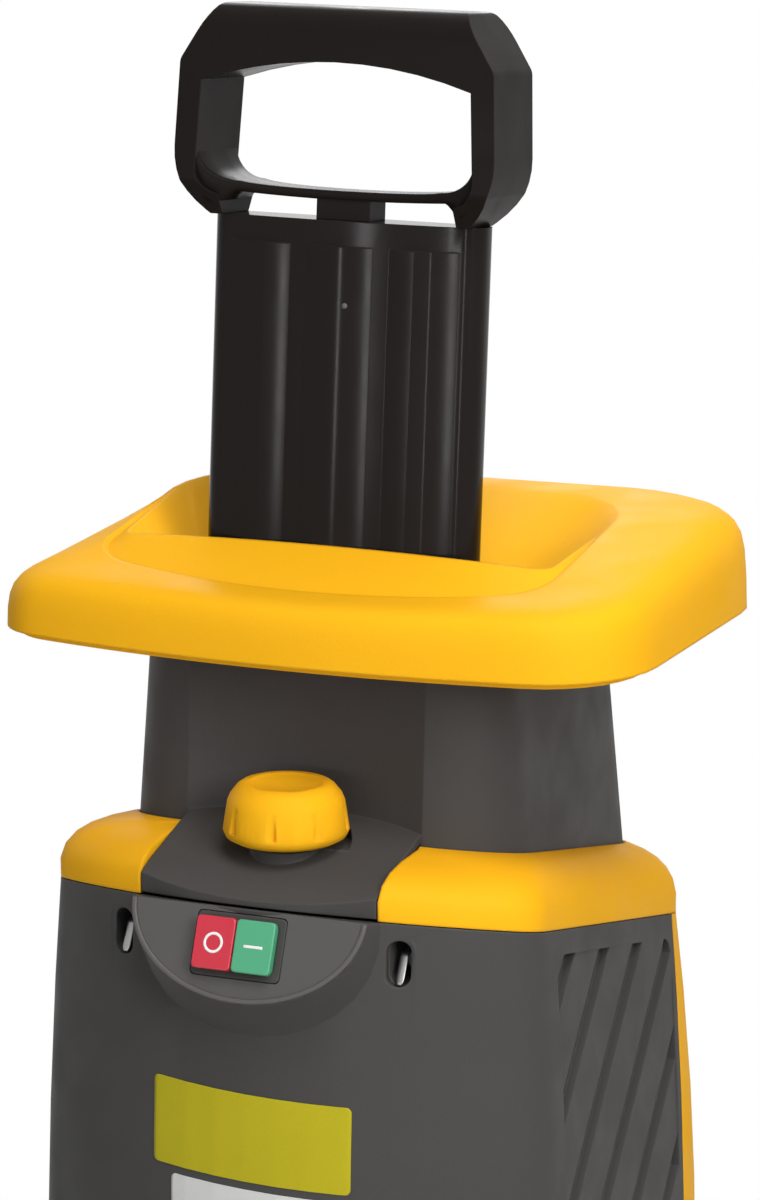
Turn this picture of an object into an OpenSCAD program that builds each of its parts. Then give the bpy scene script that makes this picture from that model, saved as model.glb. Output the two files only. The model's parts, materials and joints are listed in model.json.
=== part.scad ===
// Electric garden shredder: plunger hopper that tilts back, motor housing, wheeled stand.
// Millimetres, +Z up, front towards -Y, origin on the ground below the drive shaft.

/* [Housing] */
// Width of the housing at the seam under the top cover
body_w = 292; // [284:1:310]
// Front of the housing ahead of the drive shaft, at the seam
body_front = 184; // [178:1:196]
// Back of the housing behind the drive shaft, at the seam
body_back = 142; // [141:1:150]
// Radius of the round front
body_front_r = 215; // [200:1:300]
// Radius between the round front and the sides
body_corner_r = 35; // [25:1:50]
// Radius of the two back corners
body_back_r = 50; // [30:1:60]
// Growth of the outline from the seam down to the bottom
body_flare = 11; // [6:1:16]
// Growth of the back from the seam down to the bottom
back_flare = 22; // [12:1:26]
// Height of the housing's bottom edge
body_bottom = 300; // [285:1:315]
// Height of the seam above the drive shaft
seam_h = 563; // [560:1:570]
// Fall of the seam towards the back, in degrees
deck_slope = 12.5; // [11:0.5:13.5]
// Wall of the moulded shells
shell_wall = 3; // [2.5:0.5:4]
// Where the front shell ends and the rear shell begins
split_y = 92; // [84:1:96]
// Shadow gap between neighbouring shells
seam_gap = 0.6; // [0.3:0.1:0.9]
// Thickness of the base plate
base_t = 6; // [4:0.5:8]

/* [Control panel] */
// Half width of the raised panel at the seam
panel_half_w = 70; // [62:1:72]
// Height of the panel along its face
panel_h = 52; // [50:1:58]
// Upward tilt of the panel face, in degrees
panel_tilt = 22; // [16:1:26]
// Width of one push button
button_w = 23; // [20:0.5:25]
// Height of one push button along the panel
button_h = 29; // [26:0.5:32]
// Offset of the button pair to the left of the middle
switch_x = 3; // [0:1:8]
// How far the buttons stand out of the panel
button_out = 5; // [4:0.5:8]
// Travel of the buttons
button_travel = 3; // [2.5:0.5:5]
// Distance of each housing screw from the middle
screw_x = 82; // [80:1:86]
// Depth of the housing screws below the seam
screw_drop = 30; // [28:1:36]

/* [Side vents] */
// Length of the vent pocket front to back
vent_l = 186; // [170:1:190]
// Height of the vent pocket
vent_h = 200; // [180:1:215]
// Depth of the vent pocket
vent_depth = 7; // [5:0.5:8]
// Distance between the slanted fins
fin_pitch = 46; // [44:1:52]
// Thickness of a fin
fin_t = 31; // [26:0.5:33]

/* [Top cover] */
// Height of the shoulders above the seam
shoulder_rise = 40; // [38:1:46]
// Depth of the seat that the hopper stands in
seat_depth = 7; // [5:0.5:9]

/* [Hopper neck] */
// Width of the neck at the top
neck_top_w = 218; // [212:1:228]
// Width of the neck at the foot
neck_foot_w = 236; // [228:1:246]
// Front of the neck's columns at the top
neck_top_front = 103; // [102:1:106]
// Front of the neck's columns at the foot
neck_foot_front = 110; // [108:1:114]
// Back of the neck at the top
neck_top_back = 108; // [100:1:112]
// Back of the neck at the foot
neck_foot_back = 124; // [118:1:126]
// Half width of the scoop in front, from ridge to ridge
scoop_half_w = 71; // [68:1:76]
// Depth of the scoop
scoop_depth = 14; // [10:1:15]
// Wall of the neck
neck_wall = 3; // [2.5:0.5:3.5]
// Height of the neck's top edge, inside the rim's collar
neck_top = 748; // [742:1:752]
// Running clearance between hopper and housing
hopper_gap = 0.5; // [0.4:0.1:1]

/* [Tongue and knob] */
// Width of the tongue on each side of the middle
tongue_half_w = 70; // [66:1:72]
// Distance of the crease in the tongue ahead of the shaft
crease_y = 162; // [156:1:168]
// Rise of the tongue from its front edge to the crease
crease_rise = 13; // [9:1:16]
// Rise of the tongue from its front edge to the neck
tongue_rise = 33; // [28:1:36]
// Thickness of the tongue
tongue_t = 5; // [4:0.5:6]
// Distance of the locking knob ahead of the shaft
knob_y = 133; // [132:1:137]
// Radius of the knob at its base
knob_base_r = 35; // [30:0.5:35.5]
// Radius of the knob at its top
knob_top_r = 32.5; // [29:0.5:34]
// Height of the knob
knob_h = 32; // [28:1:38]
// Number of grip flutes
knob_flutes = 8; // [6:1:12]
// Radius of the knob's stud
stud_r = 5; // [4:0.5:6]
// Depth of the stud in its socket
stud_reach = 14; // [10:1:18]

/* [Chute and plunger] */
// Lean of the chute towards the back, in degrees
chute_lean = 5; // [3:0.5:6]
// Distance of the chute's foot ahead of the drive shaft
chute_foot_y = 78; // [76:1:79]
// Height of the chute's lower end
chute_bottom = 546; // [544:1:552]
// Wall of the chute
chute_wall = 2.5; // [2:0.5:3]
// Width of the plunger
plunger_w = 162; // [150:1:166]
// Depth of the plunger front to back
plunger_d = 36; // [32:1:38]
// Radius of the plunger's bowed front
plunger_front_r = 400; // [300:10:600]
// Radius of the plunger's upright edges
plunger_edge_r = 12; // [8:1:14]
// Length of the plunger below its cap
plunger_len = 270; // [250:1:285]
// Height of the plunger's top above the chute's foot, along the chute
plunger_raise = 417; // [412:1:425]
// Clearance round the plunger
plunger_gap = 0.4; // [0.3:0.1:1]
// Wall of the plunger
plunger_wall = 2.5; // [2:0.5:3.5]
// Distance between the plunger's upright ribs
rib_pitch = 49.5; // [44:0.5:52]
// Height of the ribs
rib_rise = 2.5; // [1.5:0.5:3]
// Width of a rib
rib_w = 40; // [34:1:44]
// Width of each rib's crest
rib_crest = 10; // [6:1:16]

/* [Handle] */
// Width of the handle loop
handle_w = 192; // [180:1:204]
// Depth of the handle front to back
handle_d = 58; // [44:1:64]
// Height of the handle above the plunger
handle_h = 117; // [112:1:126]
// Wall at the sides of the hand opening
handle_side = 13; // [10:0.5:15]
// Thickness of the grip at its ends
grip_t = 43; // [36:1:46]
// Rise of the arch under the grip
grip_arch = 13; // [6:1:16]
// Thickness of the lower bar
bar_t = 5; // [4:0.5:8]
// Height of the gaps between lower bar and plunger
handle_gap_h = 13; // [10:1:15]
// Depth of the lower bar and its post
bar_d = 22; // [16:1:30]
// Width of the middle post
post_w = 32; // [24:1:44]

/* [Hopper rim] */
// Width of the rim at the skirt
rim_w = 388; // [376:1:402]
// Front of the rim ahead of the drive shaft
rim_front = 152; // [149:1:160]
// Back of the rim behind the drive shaft
rim_back = 134; // [131:1:142]
// Radius of the rim's bowed front
rim_front_r = 770; // [500:10:1200]
// Radius of the rim's corners
rim_corner_r = 66; // [50:1:75]
// Height of the skirt's lower edge
rim_bottom = 732; // [728:1:734]
// Wall of the rim
rim_wall = 3; // [2.5:0.5:3.5]
// Width between the side ridges round the funnel
ridge_w = 272; // [264:1:278]
// Front of the ridge
ridge_front = 118; // [112:1:122]
// Radius of the ridge's bowed front
ridge_front_r = 420; // [300:10:700]
// Back of the ridge
ridge_back = 80; // [76:1:90]
// Height of the ridge at the front
ridge_low = 767; // [764:1:772]
// Height of the ridge at the back
ridge_high = 792; // [786:1:798]
// Width of the funnel mouth at the slot's front edge
mouth_w = 258; // [244:1:260]
// Height of the slot's front edge
mouth_h = 784; // [780:1:788]
// Height of the funnel's lower end on the chute
funnel_bottom = 735; // [734:1:740]

/* [Cutter and motor] */
// Radius of the knife disc
disc_r = 116; // [108:1:117]
// Thickness of the knife disc
disc_t = 6; // [5:0.5:8]
// Height of the disc's top face
disc_top = 534; // [531:0.5:535]
// Length of a knife
knife_l = 80; // [70:1:81]
// Width of a knife
knife_w = 34; // [28:1:38]
// Thickness of a knife
knife_t = 4; // [3:0.5:5]
// Depth of the cutting chamber below its rim
bowl_depth = 26; // [25:1:30]
// Wall of the cutting chamber
bowl_wall = 3; // [2.5:0.5:4]
// Radial clearance round the disc
disc_gap = 8; // [7:0.5:9]
// Radius of the drive shaft
shaft_r = 8; // [7:0.5:9]
// Radius of the motor can
motor_r = 56; // [52:0.5:58]
// Length of the motor can
motor_l = 110; // [100:1:118]
// Running clearance of the shaft in its bearings
shaft_gap = 0.05; // [0.03:0.01:0.08]

/* [Discharge] */
// Width of the discharge chute
outlet_w = 96; // [86:1:98]
// Depth of the discharge chute front to back
outlet_d = 46; // [40:1:48]
// Wall of the discharge chute
outlet_wall = 2.5; // [2:0.5:3]

/* [Stand] */
// Radius of the stand tubes
tube_r = 12.5; // [11:0.5:14]
// Distance of each side frame from the middle
frame_x = 118; // [105:1:125]
// Bend radius of the side frames
bend_r = 45; // [35:1:55]
// Front reach of the stand from the drive shaft to the feet
foot_reach = 215; // [213:1:230]
// Radius of the rubber foot sleeves
foot_r = 17; // [15.5:0.5:20]
// Radius of the wheels
wheel_r = 75; // [65:1:85]
// Width of a wheel
wheel_w = 36; // [28:1:42]
// Radius of the axle
axle_r = 6; // [5:0.5:7]
// Clearance between axle and wheel
axle_gap = 0.08; // [0.05:0.01:0.1]

/* [Hidden] */
$fn = 48;

yellow = [1, 0.74, 0.08];
grey = [0.3, 0.29, 0.28];
black = [0.09, 0.09, 0.1];
steel = [0.72, 0.73, 0.75];
cut = 1;
far = 400;

// Outlines: lists of points that run anticlockwise seen from above, always 37 of them
arc_n = 16;
corner_n = 7;
back_n = 7;
roll_n = 9;

function lerp(a, b, t) = a + (b - a) * t;
function clamp01(t) = min(1, max(0, t));
function flat(lists) = [for (l = lists) each l];
function curve(t, b, c) = 3 * t * pow(1 - t, 2) * b + 3 * t * t * (1 - t) * c + pow(t, 3) * [1, 1];
function mirrored(pts) = [for (i = [len(pts) - 1:-1:0]) [-pts[i].x, pts[i].y]];

// Right-hand half of a closed outline: front corner, then back corner
function front_corner(w, f, fr, rc) =
  let (k = sqrt(pow(fr - rc, 2) - pow(w - rc, 2)), a0 = atan2(w - rc, k))
  [for (i = [1:corner_n])
    let (a = lerp(a0, 90, i / corner_n)) [w - rc + rc * sin(a), fr - f - k - rc * cos(a)]];
function front_arc(w, f, fr, rc) =
  let (k = sqrt(pow(fr - rc, 2) - pow(w - rc, 2)), a0 = atan2(w - rc, k))
  [for (i = [0:arc_n]) let (a = lerp(-a0, a0, i / arc_n)) [fr * sin(a), fr - f - fr * cos(a)]];
function back_corner(w, b, rb) =
  [for (i = [0:back_n]) let (a = 90 * i / back_n) [w - rb + rb * cos(a), b - rb + rb * sin(a)]];

// Closed outline with a bowed front: half width, front, back, front radius, front and back corner radius
function bowed(w, f, b, fr, rc, rb) = concat(front_arc(w, f, fr, rc), front_corner(w, f, fr, rc),
  back_corner(w, b, rb), mirrored(back_corner(w, b, rb)), mirrored(front_corner(w, f, fr, rc)));

// The neck's outline: a scoop between two ridges, rounded columns, straight sides
function scoop(ridge, f, depth) =
  let (r = (ridge * ridge + depth * depth) / (2 * depth), a0 = asin(ridge / r))
  [for (i = [0:arc_n]) let (a = lerp(-a0, a0, i / arc_n)) [r * sin(a), -f + depth - r + r * cos(a)]];
function column(ridge, w, f) =
  [for (i = [1:corner_n])
    let (a = 90 * i / corner_n) [lerp(ridge, w, sin(a)), -f + (w - ridge) * (1 - cos(a))]];
function neck_outline(w, f, b, rb, inset = 0) = concat(scoop(scoop_half_w, f - inset, scoop_depth),
  column(scoop_half_w, w - inset, f - inset), back_corner(w - inset, b - inset, rb - inset),
  mirrored(back_corner(w - inset, b - inset, rb - inset)),
  mirrored(column(scoop_half_w, w - inset, f - inset)));

// Corner rounding of a polygon given as [x, y, radius]
function unit(v) = v / norm(v);
function corner_arc(a, b, c, n = 6) =
  let (m = [b.x, b.y], u = unit([a.x, a.y] - m), v = unit([c.x, c.y] - m), half = acos(u * v) / 2,
    centre = m + unit(u + v) * b.z / sin(half), p = m + u * b.z / tan(half) - centre,
    q = m + v * b.z / tan(half) - centre, a0 = atan2(p.y, p.x), sweep = (atan2(q.y, q.x) - a0 + 540) % 360 - 180)
  [for (i = [0:n]) centre + b.z * [cos(a0 + sweep * i / n), sin(a0 + sweep * i / n)]];
function rounded(p) = [for (i = [0:len(p) - 1])
  each p[i].z > 0 ? corner_arc(p[(i + len(p) - 1) % len(p)], p[i], p[(i + 1) % len(p)]) : [[p[i].x, p[i].y]]];
function round_rect(x, y, r) =
  rounded([[-x / 2, -y / 2, r], [x / 2, -y / 2, r], [x / 2, y / 2, r], [-x / 2, y / 2, r]]);

// Two triangles for each cell of a grid of rings
function cell(a, b, c, d) = [[a, c, b], [a, d, c]];

// Closed wall from rings that go up the outside and down the inside
module ring_wall(rings) {
  n = len(rings[0]);
  k = len(rings);
  polyhedron(flat(rings), [for (i = [0:k - 1], j = [0:n - 1])
    let (u = (i + 1) % k, v = (j + 1) % n) each cell(i * n + j, i * n + v, u * n + v, u * n + j)]);
}

// Open wall, such as half a shell: the same rings, ended by a strip at each end
module open_wall(outer, inner) {
  rings = concat(outer, [for (i = [len(inner) - 1:-1:0]) inner[i]]);
  n = len(rings[0]);
  k = len(rings);
  skin = [for (i = [0:k - 1], j = [0:n - 2])
    let (u = (i + 1) % k) each cell(i * n + j, i * n + j + 1, u * n + j + 1, u * n + j)];
  ends = [for (i = [0:len(outer) - 2], j = [0, n - 1])
    let (a = i * n + j, b = (i + 1) * n + j, c = (k - 2 - i) * n + j, d = (k - 1 - i) * n + j)
      each j == 0 ? cell(a, b, c, d) : cell(d, c, b, a)];
  polyhedron(flat(rings), concat(skin, ends));
}

// Heights of the sloping seam and of the hopper's foot
function seam_z(y) = seam_h - y * tan(deck_slope);
function foot_z(y) = seam_z(y) + shoulder_rise;
function on_plane(pts, h, slope_from = deck_slope) = [for (p = pts) [p.x, p.y, h - p.y * tan(slope_from)]];

module below_plane(h) {
  translate([0, 0, h]) rotate([-deck_slope, 0, 0]) translate([-far, -far, -far]) cube([2 * far, 2 * far, far]);
}

// Housing outline at a share t of the way from the bottom up to the seam
body_steps = [0, 0.3, 0.55, 0.8, 1];
function body_grow(t) = body_flare * (1 - t * t);
function back_grow(t) = back_flare * (1 - t * t);
function front_line(g) = let (w = body_w / 2 + g, f = body_front + g, fr = body_front_r + g, rc = body_corner_r + g)
  concat([[-w, split_y]], mirrored(front_corner(w, f, fr, rc)), front_arc(w, f, fr, rc),
    front_corner(w, f, fr, rc), [[w, split_y]]);
function rear_line(t, inset) = let (g = body_grow(t) - inset, w = body_w / 2 + g,
    c = back_corner(w, body_back + back_grow(t) - inset, body_back_r + g))
  concat([[w, split_y + seam_gap]], c, mirrored(c), [[-w, split_y + seam_gap]]);
function body_lift(pts, t) = [for (p = pts) [p.x, p.y, lerp(body_bottom, seam_z(p.y) - seam_gap / 2, t)]];

// Chute frame: Z runs up the leaning chute from the middle of its foot
chute_half_d = (plunger_d / 2 + plunger_gap) / cos(chute_lean);
function chute_axis_y(z) = -chute_foot_y + (z - chute_bottom) * tan(chute_lean);
module chute_frame() {
  translate([0, -chute_foot_y, chute_bottom]) rotate([-chute_lean, 0, 0]) children();
}
module box_at(lo, hi) {
  translate(lo) cube(hi - lo);
}

// Plunger outline in the chute frame, grown or shrunk by g
function plunger_outline(g) = bowed(plunger_w / 2 + g, plunger_d / 2 + g, plunger_d / 2 + g,
  plunger_front_r + g, plunger_edge_r + g, plunger_edge_r + g);
// The same opening at a level height
function chute_ring(g, z) = let (y = chute_axis_y(z), d = chute_half_d + g / cos(chute_lean))
  [for (p = bowed(plunger_w / 2 + plunger_gap + g, d - y, d + y, plunger_front_r + plunger_gap + g,
    plunger_edge_r + plunger_gap + g, plunger_edge_r + plunger_gap + g)) [p.x, p.y, z]];

// Hopper rim rings. The ridge dips towards the front; the left flank is bevelled and has a tighter front corner.
skirt_right = bowed(rim_w / 2, rim_front, rim_back, rim_front_r, rim_corner_r, rim_corner_r);
skirt_left = bowed(rim_w / 2 - 12, rim_front, rim_back, rim_front_r, rim_corner_r * 0.55, rim_corner_r);
skirt_line = [for (j = [0:len(skirt_right) - 1]) skirt_right[j].x < 0 ? skirt_left[j] : skirt_right[j]];
ridge_line = bowed(ridge_w / 2, ridge_front, ridge_back, ridge_front_r, 34, 66);
function ridge_z(y) = ridge_high - (ridge_high - ridge_low) * pow((ridge_back - y) / (ridge_front + ridge_back), 2);
function leftness(p) = clamp01((-p.x - 60) / 70);
function bevel(p) = leftness(p) * clamp01((p.y + 120) / 70);
full_roll = [[0.02, 1.02], [0.03, 0.96]];
edge_roll = [[0, 0.95], [0, 0.82]];
flat_roll = [[0, 0.62], [0.3, 0.62]];
function roll_point(i, r) = lerp(lerp(full_roll[i], edge_roll[i], leftness(r)), flat_roll[i], bevel(r));
function roll_ring(t, drop, inset) = [for (j = [0:len(skirt_line) - 1])
  let (s = skirt_line[j], r = ridge_line[j], k = curve(t, roll_point(0, r), roll_point(1, r)),
    p = lerp(s, r, k[0]), h = k[1], c = [0, (ridge_back - ridge_front) / 2],
    q = p - unit(p - c) * inset)
  [q.x, q.y, max(rim_bottom, rim_bottom + h * (ridge_z(r.y) - rim_bottom) - drop)]];
mouth_arch = 5;
mouth_front = -chute_axis_y(mouth_h) + chute_half_d;
function mouth_ring(inset, drop) = [for (p = bowed(mouth_w / 2 + inset, mouth_front + inset, ridge_back - 9 + inset,
  plunger_front_r * 3, 10, 58)) [p.x, p.y, mouth_h - mouth_arch * pow(2 * p.x / mouth_w, 2) + (p.y + mouth_front) * 0.06 - drop]];
function step_fade(y) = 2.1 * clamp01((y + 70) / 80);
function step_ring(inset, drop) = [for (p = bowed(ridge_w / 2 - inset, ridge_front - inset, ridge_back - inset,
  ridge_front_r - inset, 34 - inset, 66 - inset)) [p.x, p.y, ridge_z(p.y) - drop + step_fade(p.y)]];
rim_top = concat([for (i = [0:roll_n]) roll_ring(i / roll_n, 0, 0)],
  [step_ring(1.5, 2.5), mouth_ring(0, 0), chute_ring(0, funnel_bottom)]);
rim_under = [chute_ring(chute_wall, funnel_bottom), mouth_ring(rim_wall, 2 * rim_wall), step_ring(-rim_wall, 2.5 + 1.4 * rim_wall),
  roll_ring(0.78, 1.3 * rim_wall, 0), roll_ring(0.58, 1.2 * rim_wall, rim_wall), roll_ring(0.42, rim_wall, rim_wall * 1.2),
  roll_ring(0, 0, rim_wall)];
rim_middle = [roll_ring(0, 0, rim_wall / 2), roll_ring(0.42, rim_wall / 2, rim_wall * 0.6),
  roll_ring(0.58, rim_wall * 0.6, rim_wall / 2), roll_ring(0.78, 0.65 * rim_wall, 0), step_ring(-rim_wall / 2, 2.5 + 0.7 * rim_wall), mouth_ring(rim_wall / 2, rim_wall),
  chute_ring(chute_wall / 2, funnel_bottom)];

neck_back_r = 45;
neck_top_line = neck_outline(neck_top_w / 2, neck_top_front, neck_top_back, neck_back_r);
collar_t = 2.5;
collar_z = rim_bottom + 1;
rim_screw_y = [-40, 60];
rim_screw_z = (rim_bottom + neck_top) / 2 + 2;

module rim_screw_places() {
  for (s = [-1, 1], y = rim_screw_y)
    translate([s * neck_top_w / 2, y, rim_screw_z]) rotate([0, s * 90, 0]) children();
}

module hopper_rim() {
  color(yellow) difference() {
    union() {
      ring_wall(concat(rim_top, rim_under));
      intersection() {
        ring_wall(rim_middle);
        translate([0, 0, collar_z + 1]) linear_extrude(ridge_high - rim_bottom) difference() {
          polygon(neck_outline(neck_top_w / 2, neck_top_front, neck_top_back, neck_back_r, -hopper_gap - collar_t));
          polygon(neck_outline(neck_top_w / 2, neck_top_front, neck_top_back, neck_back_r, -hopper_gap));
        }
      }
    }
    rim_screw_places() translate([0, 0, -cut]) cylinder(r = 2.3, h = 12);
  }
}

module rim_screws() {
  color(steel) rim_screw_places() {
    translate([0, 0, hopper_gap + collar_t]) cylinder(r = 4.5, h = 3);
    translate([0, 0, -neck_wall - 1]) cylinder(r = 2, h = neck_wall + 2 + hopper_gap + collar_t);
  }
}

// Hinge at the back of the hopper
hinge_y = neck_foot_back + 14;
hinge_z = foot_z(hinge_y) + 4;
hinge_r = 9;
pin_r = 3;
pin_gap = 0.05;
lug_x = 36;
lug_w = 14;
ear_w = 12;
ear_x = lug_x + lug_w / 2 + hopper_gap + ear_w / 2;

module along_x(x, w, r) {
  translate([x - w / 2, hinge_y, hinge_z]) rotate([0, 90, 0]) cylinder(r = r, h = w);
}

// Tongue: plate from the scoop down to the front edge, with a level pad for the knob
tongue_front = body_front - 0.5;
tongue_edge_z = seam_z(-tongue_front) + 3 * hopper_gap;
tongue_back = neck_foot_front - scoop_depth - neck_wall;
lip_back = max(crease_y + 1, tongue_front - 18);
pad_r = 20;
collar_h = 3;
function tongue_top(y) = -y > crease_y
  ? lerp(tongue_edge_z + 3, tongue_edge_z + crease_rise, (tongue_front + y) / (tongue_front - crease_y))
  : lerp(tongue_edge_z + crease_rise, tongue_edge_z + tongue_rise, (crease_y + y) / (crease_y - tongue_back));
pad_z = tongue_top(-knob_y) + 0.5;

module tongue_plan(grow) {
  k = [for (p = front_arc(body_w / 2, tongue_front, body_front_r, body_corner_r))
    if (abs(p.x) < tongue_half_w + grow - 2) p];
  edge_y = body_front_r - tongue_front - sqrt(pow(body_front_r, 2) - pow(tongue_half_w + grow, 2));
  polygon(concat([[-tongue_half_w - grow, edge_y]], k, [[tongue_half_w + grow, edge_y],
    [tongue_half_w + grow, -tongue_back], [-tongue_half_w - grow, -tongue_back]]));
}

module tongue() {
  profile = [[-tongue_front - cut, tongue_edge_z], [-tongue_front - cut, tongue_top(-tongue_front)],
    [-tongue_front, tongue_top(-tongue_front)], [-crease_y, tongue_top(-crease_y)], [-tongue_back, tongue_top(-tongue_back)],
    [-tongue_back, tongue_top(-tongue_back) - tongue_t], [-crease_y, tongue_top(-crease_y) - tongue_t],
    [-lip_back, tongue_top(-lip_back) - tongue_t], [-lip_back, seam_z(-lip_back) + 3 * hopper_gap]];
  intersection() {
    translate([0, 0, rim_bottom - far / 2]) linear_extrude(far / 2) tongue_plan(0);
    translate([-tongue_half_w, 0, 0]) rotate([90, 0, 90]) linear_extrude(2 * tongue_half_w) polygon(profile);
  }
  translate([interlock_x, interlock_y, interlock_top + 4.5]) cylinder(r = 4, h = tongue_top(interlock_y) - 8.5 + 5 - interlock_top);
  translate([0, -knob_y, pad_z - tongue_t - 3]) {
    cylinder(r = pad_r, h = tongue_t + 3);
    intersection() {
      cylinder(r = knob_base_r + 3, h = tongue_t + 3);
      translate([-tongue_half_w, 0, -far / 2]) cube([2 * tongue_half_w, far, far]);
    }
  }
}

module hopper_neck() {
  seat = hopper_gap - seat_depth;
  foot_line = neck_outline(neck_foot_w / 2, neck_foot_front, neck_foot_back, neck_back_r);
  foot_inside = neck_outline(neck_foot_w / 2, neck_foot_front, neck_foot_back, neck_back_r, neck_wall);
  top_inside = neck_outline(neck_top_w / 2, neck_top_front, neck_top_back, neck_back_r, neck_wall);
  color(grey) difference() {
    union() {
      ring_wall([on_plane(foot_line, seam_h + shoulder_rise + seat), on_plane(neck_top_line, collar_z, 0),
        on_plane(neck_top_line, neck_top, 0), on_plane(top_inside, neck_top, 0), on_plane(top_inside, collar_z, 0),
        on_plane(foot_inside, seam_h + shoulder_rise + seat)]);
      translate([0, 0, seam_h + shoulder_rise + seat + 0.5]) rotate([-deck_slope, 0, 0]) linear_extrude(4)
        polygon([for (p = neck_outline(neck_foot_w / 2, neck_foot_front, neck_foot_back, neck_back_r, neck_wall / 2))
          [p.x, p.y / cos(deck_slope)]]);
      tongue();
      intersection() {
        chute_frame() linear_extrude(plunger_raise) polygon(plunger_outline(plunger_gap + chute_wall));
        box_at([-far, -far, chute_bottom], [far, far, funnel_bottom]);
      }
      for (s = [-1, 1]) {
        along_x(s * lug_x, lug_w, hinge_r);
        box_at([s * lug_x - lug_w / 2, neck_foot_back - neck_wall, hinge_z - hinge_r],
          [s * lug_x + lug_w / 2, hinge_y, hinge_z + hinge_r]);
      }
    }
    chute_frame() translate([0, 0, -20]) linear_extrude(plunger_raise + 20) polygon(plunger_outline(plunger_gap));
    along_x(0, 3 * ear_x, pin_r + pin_gap);
    translate([0, -knob_y, chute_bottom]) cylinder(r = stud_r + 0.1, h = far / 2);
    translate([0, -knob_y, pad_z]) cylinder(r = knob_base_r + 1.2, h = knob_h + 20);
    rim_screw_places() translate([0, 0, -10]) cylinder(r = 2.05, h = 20);
  }
}

module plunger_section(f) {
  polygon(bowed(plunger_w / 2, f, plunger_d / 2, plunger_front_r, plunger_edge_r, plunger_edge_r));
}

// Screws that hold the handle on the plunger
handle_screw_x = 74;
screw_gap = 0.08;

module handle_screw_places() {
  for (s = [-1, 1]) translate([s * handle_screw_x, 0, plunger_raise]) children();
}

module plunger_body() {
  flat_front = plunger_d / 2 - rib_rise;
  rib_sag = pow(rib_w, 2) / (8 * plunger_front_r);
  color(black) chute_frame() difference() {
    translate([0, 0, plunger_raise - plunger_len]) union() {
      linear_extrude(plunger_len) plunger_section(flat_front);
      linear_extrude(plunger_len - 14) for (i = [-1:1]) intersection() {
        plunger_section(plunger_d / 2);
        translate([0, plunger_front_r - flat_front]) rotate(asin(i * rib_pitch / plunger_front_r)) translate([0, -plunger_front_r])
          polygon([[-rib_w / 2, rib_sag + 0.5], [-rib_w / 2, rib_sag], [-rib_crest / 2, -rib_rise], [rib_crest / 2, -rib_rise],
            [rib_w / 2, rib_sag], [rib_w / 2, rib_sag + 0.5]]);
      }
    }
    translate([0, 0, plunger_raise - plunger_len - cut]) linear_extrude(plunger_len - 4) polygon(
      bowed(plunger_w / 2 - plunger_wall, plunger_d / 2 - rib_rise - plunger_wall, plunger_d / 2 - plunger_wall,
        plunger_front_r, plunger_edge_r - plunger_wall, plunger_edge_r - plunger_wall));
    handle_screw_places() translate([0, 0, -8]) cylinder(r = 2 + screw_gap, h = 10);
  }
}

module plunger_screws() {
  color(steel) chute_frame() handle_screw_places() {
    translate([0, 0, -8]) cylinder(r = 3.5, h = 3);
    translate([0, 0, -6]) cylinder(r = 2, h = 16);
  }
}

// Handle: a loop with a thick arched grip, on three posts above the plunger's cap
module plunger_handle() {
  half = handle_w / 2;
  in_half = half - handle_side;
  lean = 3;
  in_top = in_half - lean;
  bar = handle_gap_h;
  foot_x = plunger_w / 2 - 11;
  foot_h = 18;
  hole_top = handle_h - grip_t;
  arch_r = (in_top * in_top + grip_arch * grip_arch) / (2 * grip_arch);
  arch_a = asin(in_top / arch_r);
  outer = rounded([[-plunger_w / 2 + 4, 0, 0], [plunger_w / 2 - 4, 0, 0], [half, 16, 44], [half - lean, handle_h - 32, 8],
    [half - 23, handle_h, 5], [-half + 23, handle_h, 5], [-half + lean, handle_h - 32, 8], [-half, 16, 44]]);
  arch = [for (i = [0:10]) let (a = lerp(arch_a, -arch_a, i / 10))
    [arch_r * sin(a), hole_top + grip_arch - arch_r + arch_r * cos(a)]];
  hole = concat(rounded([[-in_top, hole_top - 1, 0], [-in_half, bar + 3, 13], [-foot_x, bar - 2, 3], [-foot_x, -cut, 0],
    [foot_x, -cut, 0], [foot_x, bar - 2, 3], [in_half, bar + 3, 13], [in_top, hole_top - 1, 0]]), arch);
  reach = in_half + 2;
  strap = concat([for (i = [-8:8]) let (u = i / 8) [u * reach, bar - 2 + 3 * u * u]],
    [for (i = [8:-1:-8]) let (u = i / 8) [u * reach, bar - 2 + bar_t + 3 * u * u + 8 * pow(u, 6)]]);
  side = rounded([[-plunger_d / 2, 0, 0], [plunger_d / 2, 0, 0], [handle_d / 2, foot_h, 6], [handle_d / 2, handle_h, 16],
    [-handle_d / 2, handle_h, 16], [-handle_d / 2, foot_h, 6]]);
  color(black) chute_frame() translate([0, 0, plunger_raise]) difference() {
    union() {
      intersection() {
        translate([0, handle_d / 2, 0]) rotate([90, 0, 0]) linear_extrude(handle_d) difference() {
          polygon(outer);
          polygon(hole);
        }
        translate([-half - cut, 0, 0]) rotate([90, 0, 90]) linear_extrude(handle_w + 2 * cut) polygon(side);
      }
      translate([0, bar_d / 2, 0]) rotate([90, 0, 0]) linear_extrude(bar_d) polygon(strap);
      box_at([-post_w / 2, -bar_d / 2, 0], [post_w / 2, bar_d / 2, bar]);
    }
    translate([0, 0, -plunger_raise]) handle_screw_places() translate([0, 0, -cut]) cylinder(r = 2 + screw_gap, h = 12);
  }
}

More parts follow.
